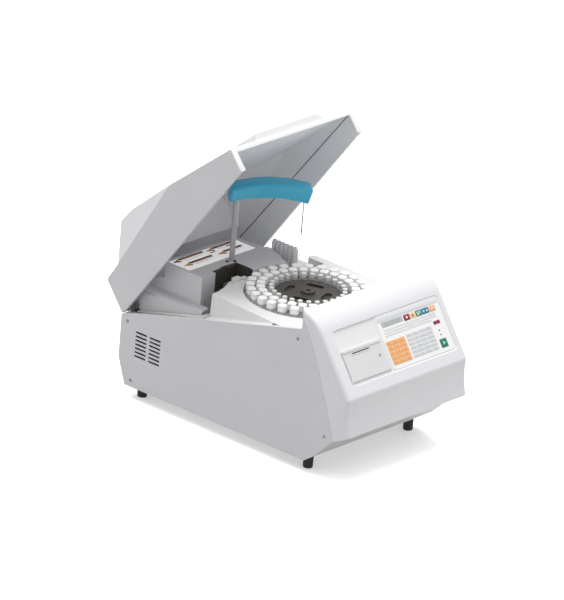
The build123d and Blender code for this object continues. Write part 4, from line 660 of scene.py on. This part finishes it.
LZ = 340.6
P_RED = flat("print_red", "#8E3A33", rough=0.4)
P_OCHRE = flat("print_ochre", "#D9A441", rough=0.4)
P_SLATE = flat("print_slate", "#4A5560", rough=0.4)
P_GREY = flat("print_grey", "#B9BABC", rough=0.4)
bars = {"red": [], "ochre": [], "slate": [], "grey": []}
flags = {"red": [], "ochre": [], "slate": [], "grey": []}
for x0, x1, y0, tint in ((-121, -37, 245.2, "red"), (-7, 66, 245.2, "ochre"), (-114, -36, 216.0, "ochre"), (4, 66, 216.0, "ochre")):
    bars["red"].append((x0, x1, y0 - 4.2, y0 + 5.4))
    flags[tint].append((x0 - 26, y0 - 14.0, x0 - 1, y0 + 3.0))
    flags["red" if tint == "ochre" else "ochre"].append((x0 - 8, y0 - 13.5, x0 + 1, y0 - 7.5))
    for k in range(2):
        bars["grey"].append((x0 + 6, x1 - 10 - 14 * k, y0 - 9.4 - 4.2 * k, y0 - 8.2 - 4.2 * k))
bars["slate"].append((34, 52, 233.0, 237.4))
bars["slate"].append((-30, -12, 226.5, 230.5))
for key, mt in (("red", P_RED), ("ochre", P_OCHRE), ("slate", P_SLATE), ("grey", P_GREY)):
    bm = bmesh.new()
    for x0, x1, y0, y1 in bars[key]:
        tile(bm, x0, x1, y0, y1, LZ - 0.02, LZ + 0.12, flat_top, 0.6, 0.05, seg=2)
    for x0, y0, x1, y1 in flags[key]:
        tri = [(x0, (y0 + y1) / 2 + 1.5), (x1 - 2, y0), (x1, y1)]
        stack(bm, [(tri, LZ - 0.02), (tri, LZ + 0.1), (shrink(tri, 0.08), LZ + 0.13)], flat_top)
    finished("label_print_" + key, bm, mt, "chassis")


# ------------------------------------------------------------------ bead along the lid's inner walls, dark grey as painted shade for the crease where roof meets wall
# the bead's dark grey is painted shade: it draws the shaded crease line of the liner's inner corner
CREASE_SHADE = coated("crease_shade_bead", hexc("#77777A"), rough=0.6, vary=0.08, wear=0.0, dust=0.0)
bm = bmesh.new()
for side in (-1, 1):
    run = []
    for k in range(13):
        t = k / 12
        run.append((-212.5 + 497.0 * t, 395.4 - 117.2 * t))
    loops = []
    for y, z in run:
        loops.append([bm.verts.new(lid_point(side * x, y + dy, z + dz)) for x, dy, dz in
                      ((202.1, -0.27, -1.17), (201.2, -0.22, -0.97), (200.9, 0.0, 0.0), (201.2, 0.22, 0.97), (202.1, 0.27, 1.17))])
    for a, b in zip(loops, loops[1:]):
        for i in range(5):
            bm.faces.new((a[i], a[(i + 1) % 5], b[(i + 1) % 5], b[i]))
    bm.faces.new(loops[0][::-1])
    bm.faces.new(loops[-1])
finished("liner_crease_shade_beads", bm, CREASE_SHADE, "lid")


# ------------------------------------------------------------------ rail and wall of the platform run on below the lid
def edge_z(y):
    return 203.0 + (330.6 - y) * 0.2575


def prism(bm, pts, a, b, at):
    """Closed prism: outline pts carried from a to b; at(p, t) places a point."""
    l0 = [bm.verts.new(at(q, a)) for q in pts]
    l1 = [bm.verts.new(at(q, b)) for q in pts]
    for i in range(len(pts)):
        j = (i + 1) % len(pts)
        bm.faces.new((l0[i], l0[j], l1[j], l1[i]))
    bm.faces.new(l0[::-1])
    bm.faces.new(l1)


bm = bmesh.new()
prism(bm, [(-152.5, 271.3), (-155, 271), (-174, 269), (-178, 266), (-178, 261), (-175.5, 261), (-175.5, 265), (-152.5, 267.6)],
      253.5, 305.0, lambda q, t: mm((q[0], t, q[1])))
prism(bm, [(253.5, 262.5), (305.0, 262.5), (305.0, edge_z(305.0) + 1.6), (253.5, edge_z(253.5) + 1.6)],
      -178.0, -175.8, lambda q, t: mm((t, q[0], q[1])))
prism(bm, [(253.5, 270.5), (253.5, 300.0), (262.0, 300.0), (305.0, 288.0), (305.0, 270.5)],
      -155.0, -152.5, lambda q, t: mm((t, q[0], q[1])))
finished("platform_rail_tail", bm, PLAT, "chassis")

# ------------------------------------------------------------------ bottle caps
def cap_outline(half=10.2, r=7.4, ribs=44, amp=0.22):
    base = rounded(-half, half, -half, half, r, 12)
    # resample evenly, two points a rib
    pts = base + [base[0]]
    lens = [0.0]
    for a, b in zip(pts, pts[1:]):
        lens.append(lens[-1] + math.hypot(b[0] - a[0], b[1] - a[1]))
    total, out = lens[-1], []
    n = ribs * 2
    j = 0
    for i in range(n):
        d = total * i / n
        while lens[j + 1] < d:
            j += 1
        t = (d - lens[j]) / (lens[j + 1] - lens[j])
        out.append((pts[j][0] + (pts[j + 1][0] - pts[j][0]) * t, pts[j][1] + (pts[j + 1][1] - pts[j][1]) * t))
    return out, [(p[0] - p[0] / math.hypot(*p) * amp * (i % 2), p[1] - p[1] / math.hypot(*p) * amp * (i % 2)) for i, p in enumerate(out)]


plain, ribbed = cap_outline()
spots = []
for n_, r_, a0 in ((28, 134.5, 2.6), (28, 111.0, 2.6 + 180 / 28)):
    for i in range(n_):
        a = rad(a0 + 360 * i / n_)
        spots.append((CX + r_ * math.cos(a), CY + r_ * math.sin(a), a))
bm = bmesh.new()
for px, py, a in spots:
    c, s = math.cos(a), math.sin(a)

    def place(x, y, h, px=px, py=py, c=c, s=s):
        return mm((px + x * c - y * s, py + x * s + y * c, h))
    scaled = lambda k: [(x * k, y * k) for x, y in plain]
    rim_in = [(3.2 * math.cos(2 * math.pi * i / len(plain) + rad(45)), 3.2 * math.sin(2 * math.pi * i / len(plain) + rad(45))) for i in range(len(plain))]
    a_off = math.atan2(plain[0][1], plain[0][0])
    rim_in = [(3.4 * math.cos(math.atan2(y, x)), 3.4 * math.sin(math.atan2(y, x))) for x, y in plain]
    rim_lo = [(3.0 * math.cos(math.atan2(y, x)), 3.0 * math.sin(math.atan2(y, x))) for x, y in plain]
    inner = [(7.1 * math.cos(math.atan2(y, x)), 7.1 * math.sin(math.atan2(y, x))) for x, y in plain]
    stack(bm, [(inner, 326.0), (plain, 326.0), (plain, 326.9), (ribbed, 327.5), (ribbed, 337.6), (plain, 338.3), (scaled(0.985), 339.6),
               (scaled(0.95), 340.5), (scaled(0.90), 340.9), (scaled(0.82), 341.0), (rim_in, 341.0), (rim_lo, 340.2)], place, close_bottom=False)
o = finished("bottle_caps_ribbed", bm, CAP, "carousel", smooth_angle=40.0)
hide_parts("bottle_caps")

# ------------------------------------------------------------------ floor, light, camera
bm = bmesh.new()
bmesh.ops.create_grid(bm, x_segments=2, y_segments=2, size=40.0)
floor = finished("floor", bm, coated("floor_finish", (0.86, 0.86, 0.86), rough=0.75, grain=60.0, depth=0.0002, vary=0.004, wear=0.0, dust=0.0, specular=0.1), None, smooth=False)
floor.location = (0, 0, -0.0002)
floor.visible_diffuse = False

world = bpy.data.worlds.new("studio")
bpy.context.scene.world = world
world.use_nodes = True
bg = world.node_tree.nodes["Background"]
bg.inputs["Strength"].default_value = 1.0
# white surround, somewhat weaker from below
wt = world.node_tree
way = wt.nodes.new("ShaderNodeTexCoord")
sep = wt.nodes.new("ShaderNodeSeparateXYZ")
wt.links.new(way.outputs["Generated"], sep.inputs[0])
grade = ramp(wt, spread(wt, sep.outputs["Z"], -0.6, 0.6, 0.0, 1.0), [(0.0, (0.47, 0.47, 0.47)), (1.0, (0.72, 0.72, 0.725))])
wt.links.new(grade, bg.inputs["Color"])


def area(name, place, target, size, power, colour=(1, 1, 1)):
    l = bpy.data.lights.new(name, "AREA")
    l.shape = "RECTANGLE"
    l.size, l.size_y = size
    l.energy = power
    l.color = colour
    o = bpy.data.objects.new(name, l)
    o.location = place
    o.rotation_mode = "QUATERNION"
    o.rotation_quaternion = (Vector(target) - Vector(place)).to_track_quat("-Z", "Y")
    bpy.context.scene.collection.objects.link(o)
    return o


# wide overhead light, as from a bank of diffused lamps
top = bpy.data.lights.new("overhead", "SUN")
top.energy = 2.5
top.angle = rad(50)
sun = bpy.data.objects.new("overhead", top)
sun.rotation_mode = "QUATERNION"
sun.rotation_quaternion = Vector((-0.10, -0.12, -1.0)).to_track_quat("-Z", "Y")
bpy.context.scene.collection.objects.link(sun)

# the sweep under the instrument has a lamp of its own, as in a product studio
sweep = bpy.data.lights.new("sweep", "SUN")
sweep.energy = 3.25
sweep.angle = rad(90)
sweep_lamp = bpy.data.objects.new("sweep", sweep)
bpy.context.scene.collection.objects.link(sweep_lamp)
lit = bpy.data.collections.new("sweep_lit")
lit.objects.link(floor)
sweep_lamp.light_linking.receiver_collection = lit
sweep_lamp.light_linking.blocker_collection = lit

scene = bpy.context.scene
scene.view_settings.view_transform = "Standard"
scene.view_settings.look = "None"

cam_data = bpy.data.cameras.new("camera")
cam_data.sensor_width = 36.0
cam_data.lens = 480.0
cam_data.clip_end = 200.0
cam = bpy.data.objects.new("camera", cam_data)
scene.collection.objects.link(cam)
yaw, pitch, roll, dist = rad(49.8845), rad(22.1835), rad(4.6898), 18.4692
a = -yaw
back = Vector((math.sin(a) * math.cos(pitch), -math.cos(a) * math.cos(pitch), math.sin(pitch)))
right = Vector((math.cos(a), math.sin(a), 0))
up = back.cross(right)
r2 = math.cos(roll) * right + math.sin(roll) * up
u2 = -math.sin(roll) * right + math.cos(roll) * up
place = Vector((-0.07051, -0.036, 0.32017)) + back * dist
cam.matrix_world = Matrix(((r2.x, u2.x, back.x, place.x), (r2.y, u2.y, back.y, place.y), (r2.z, u2.z, back.z, place.z), (0, 0, 0, 1)))
scene.camera = cam
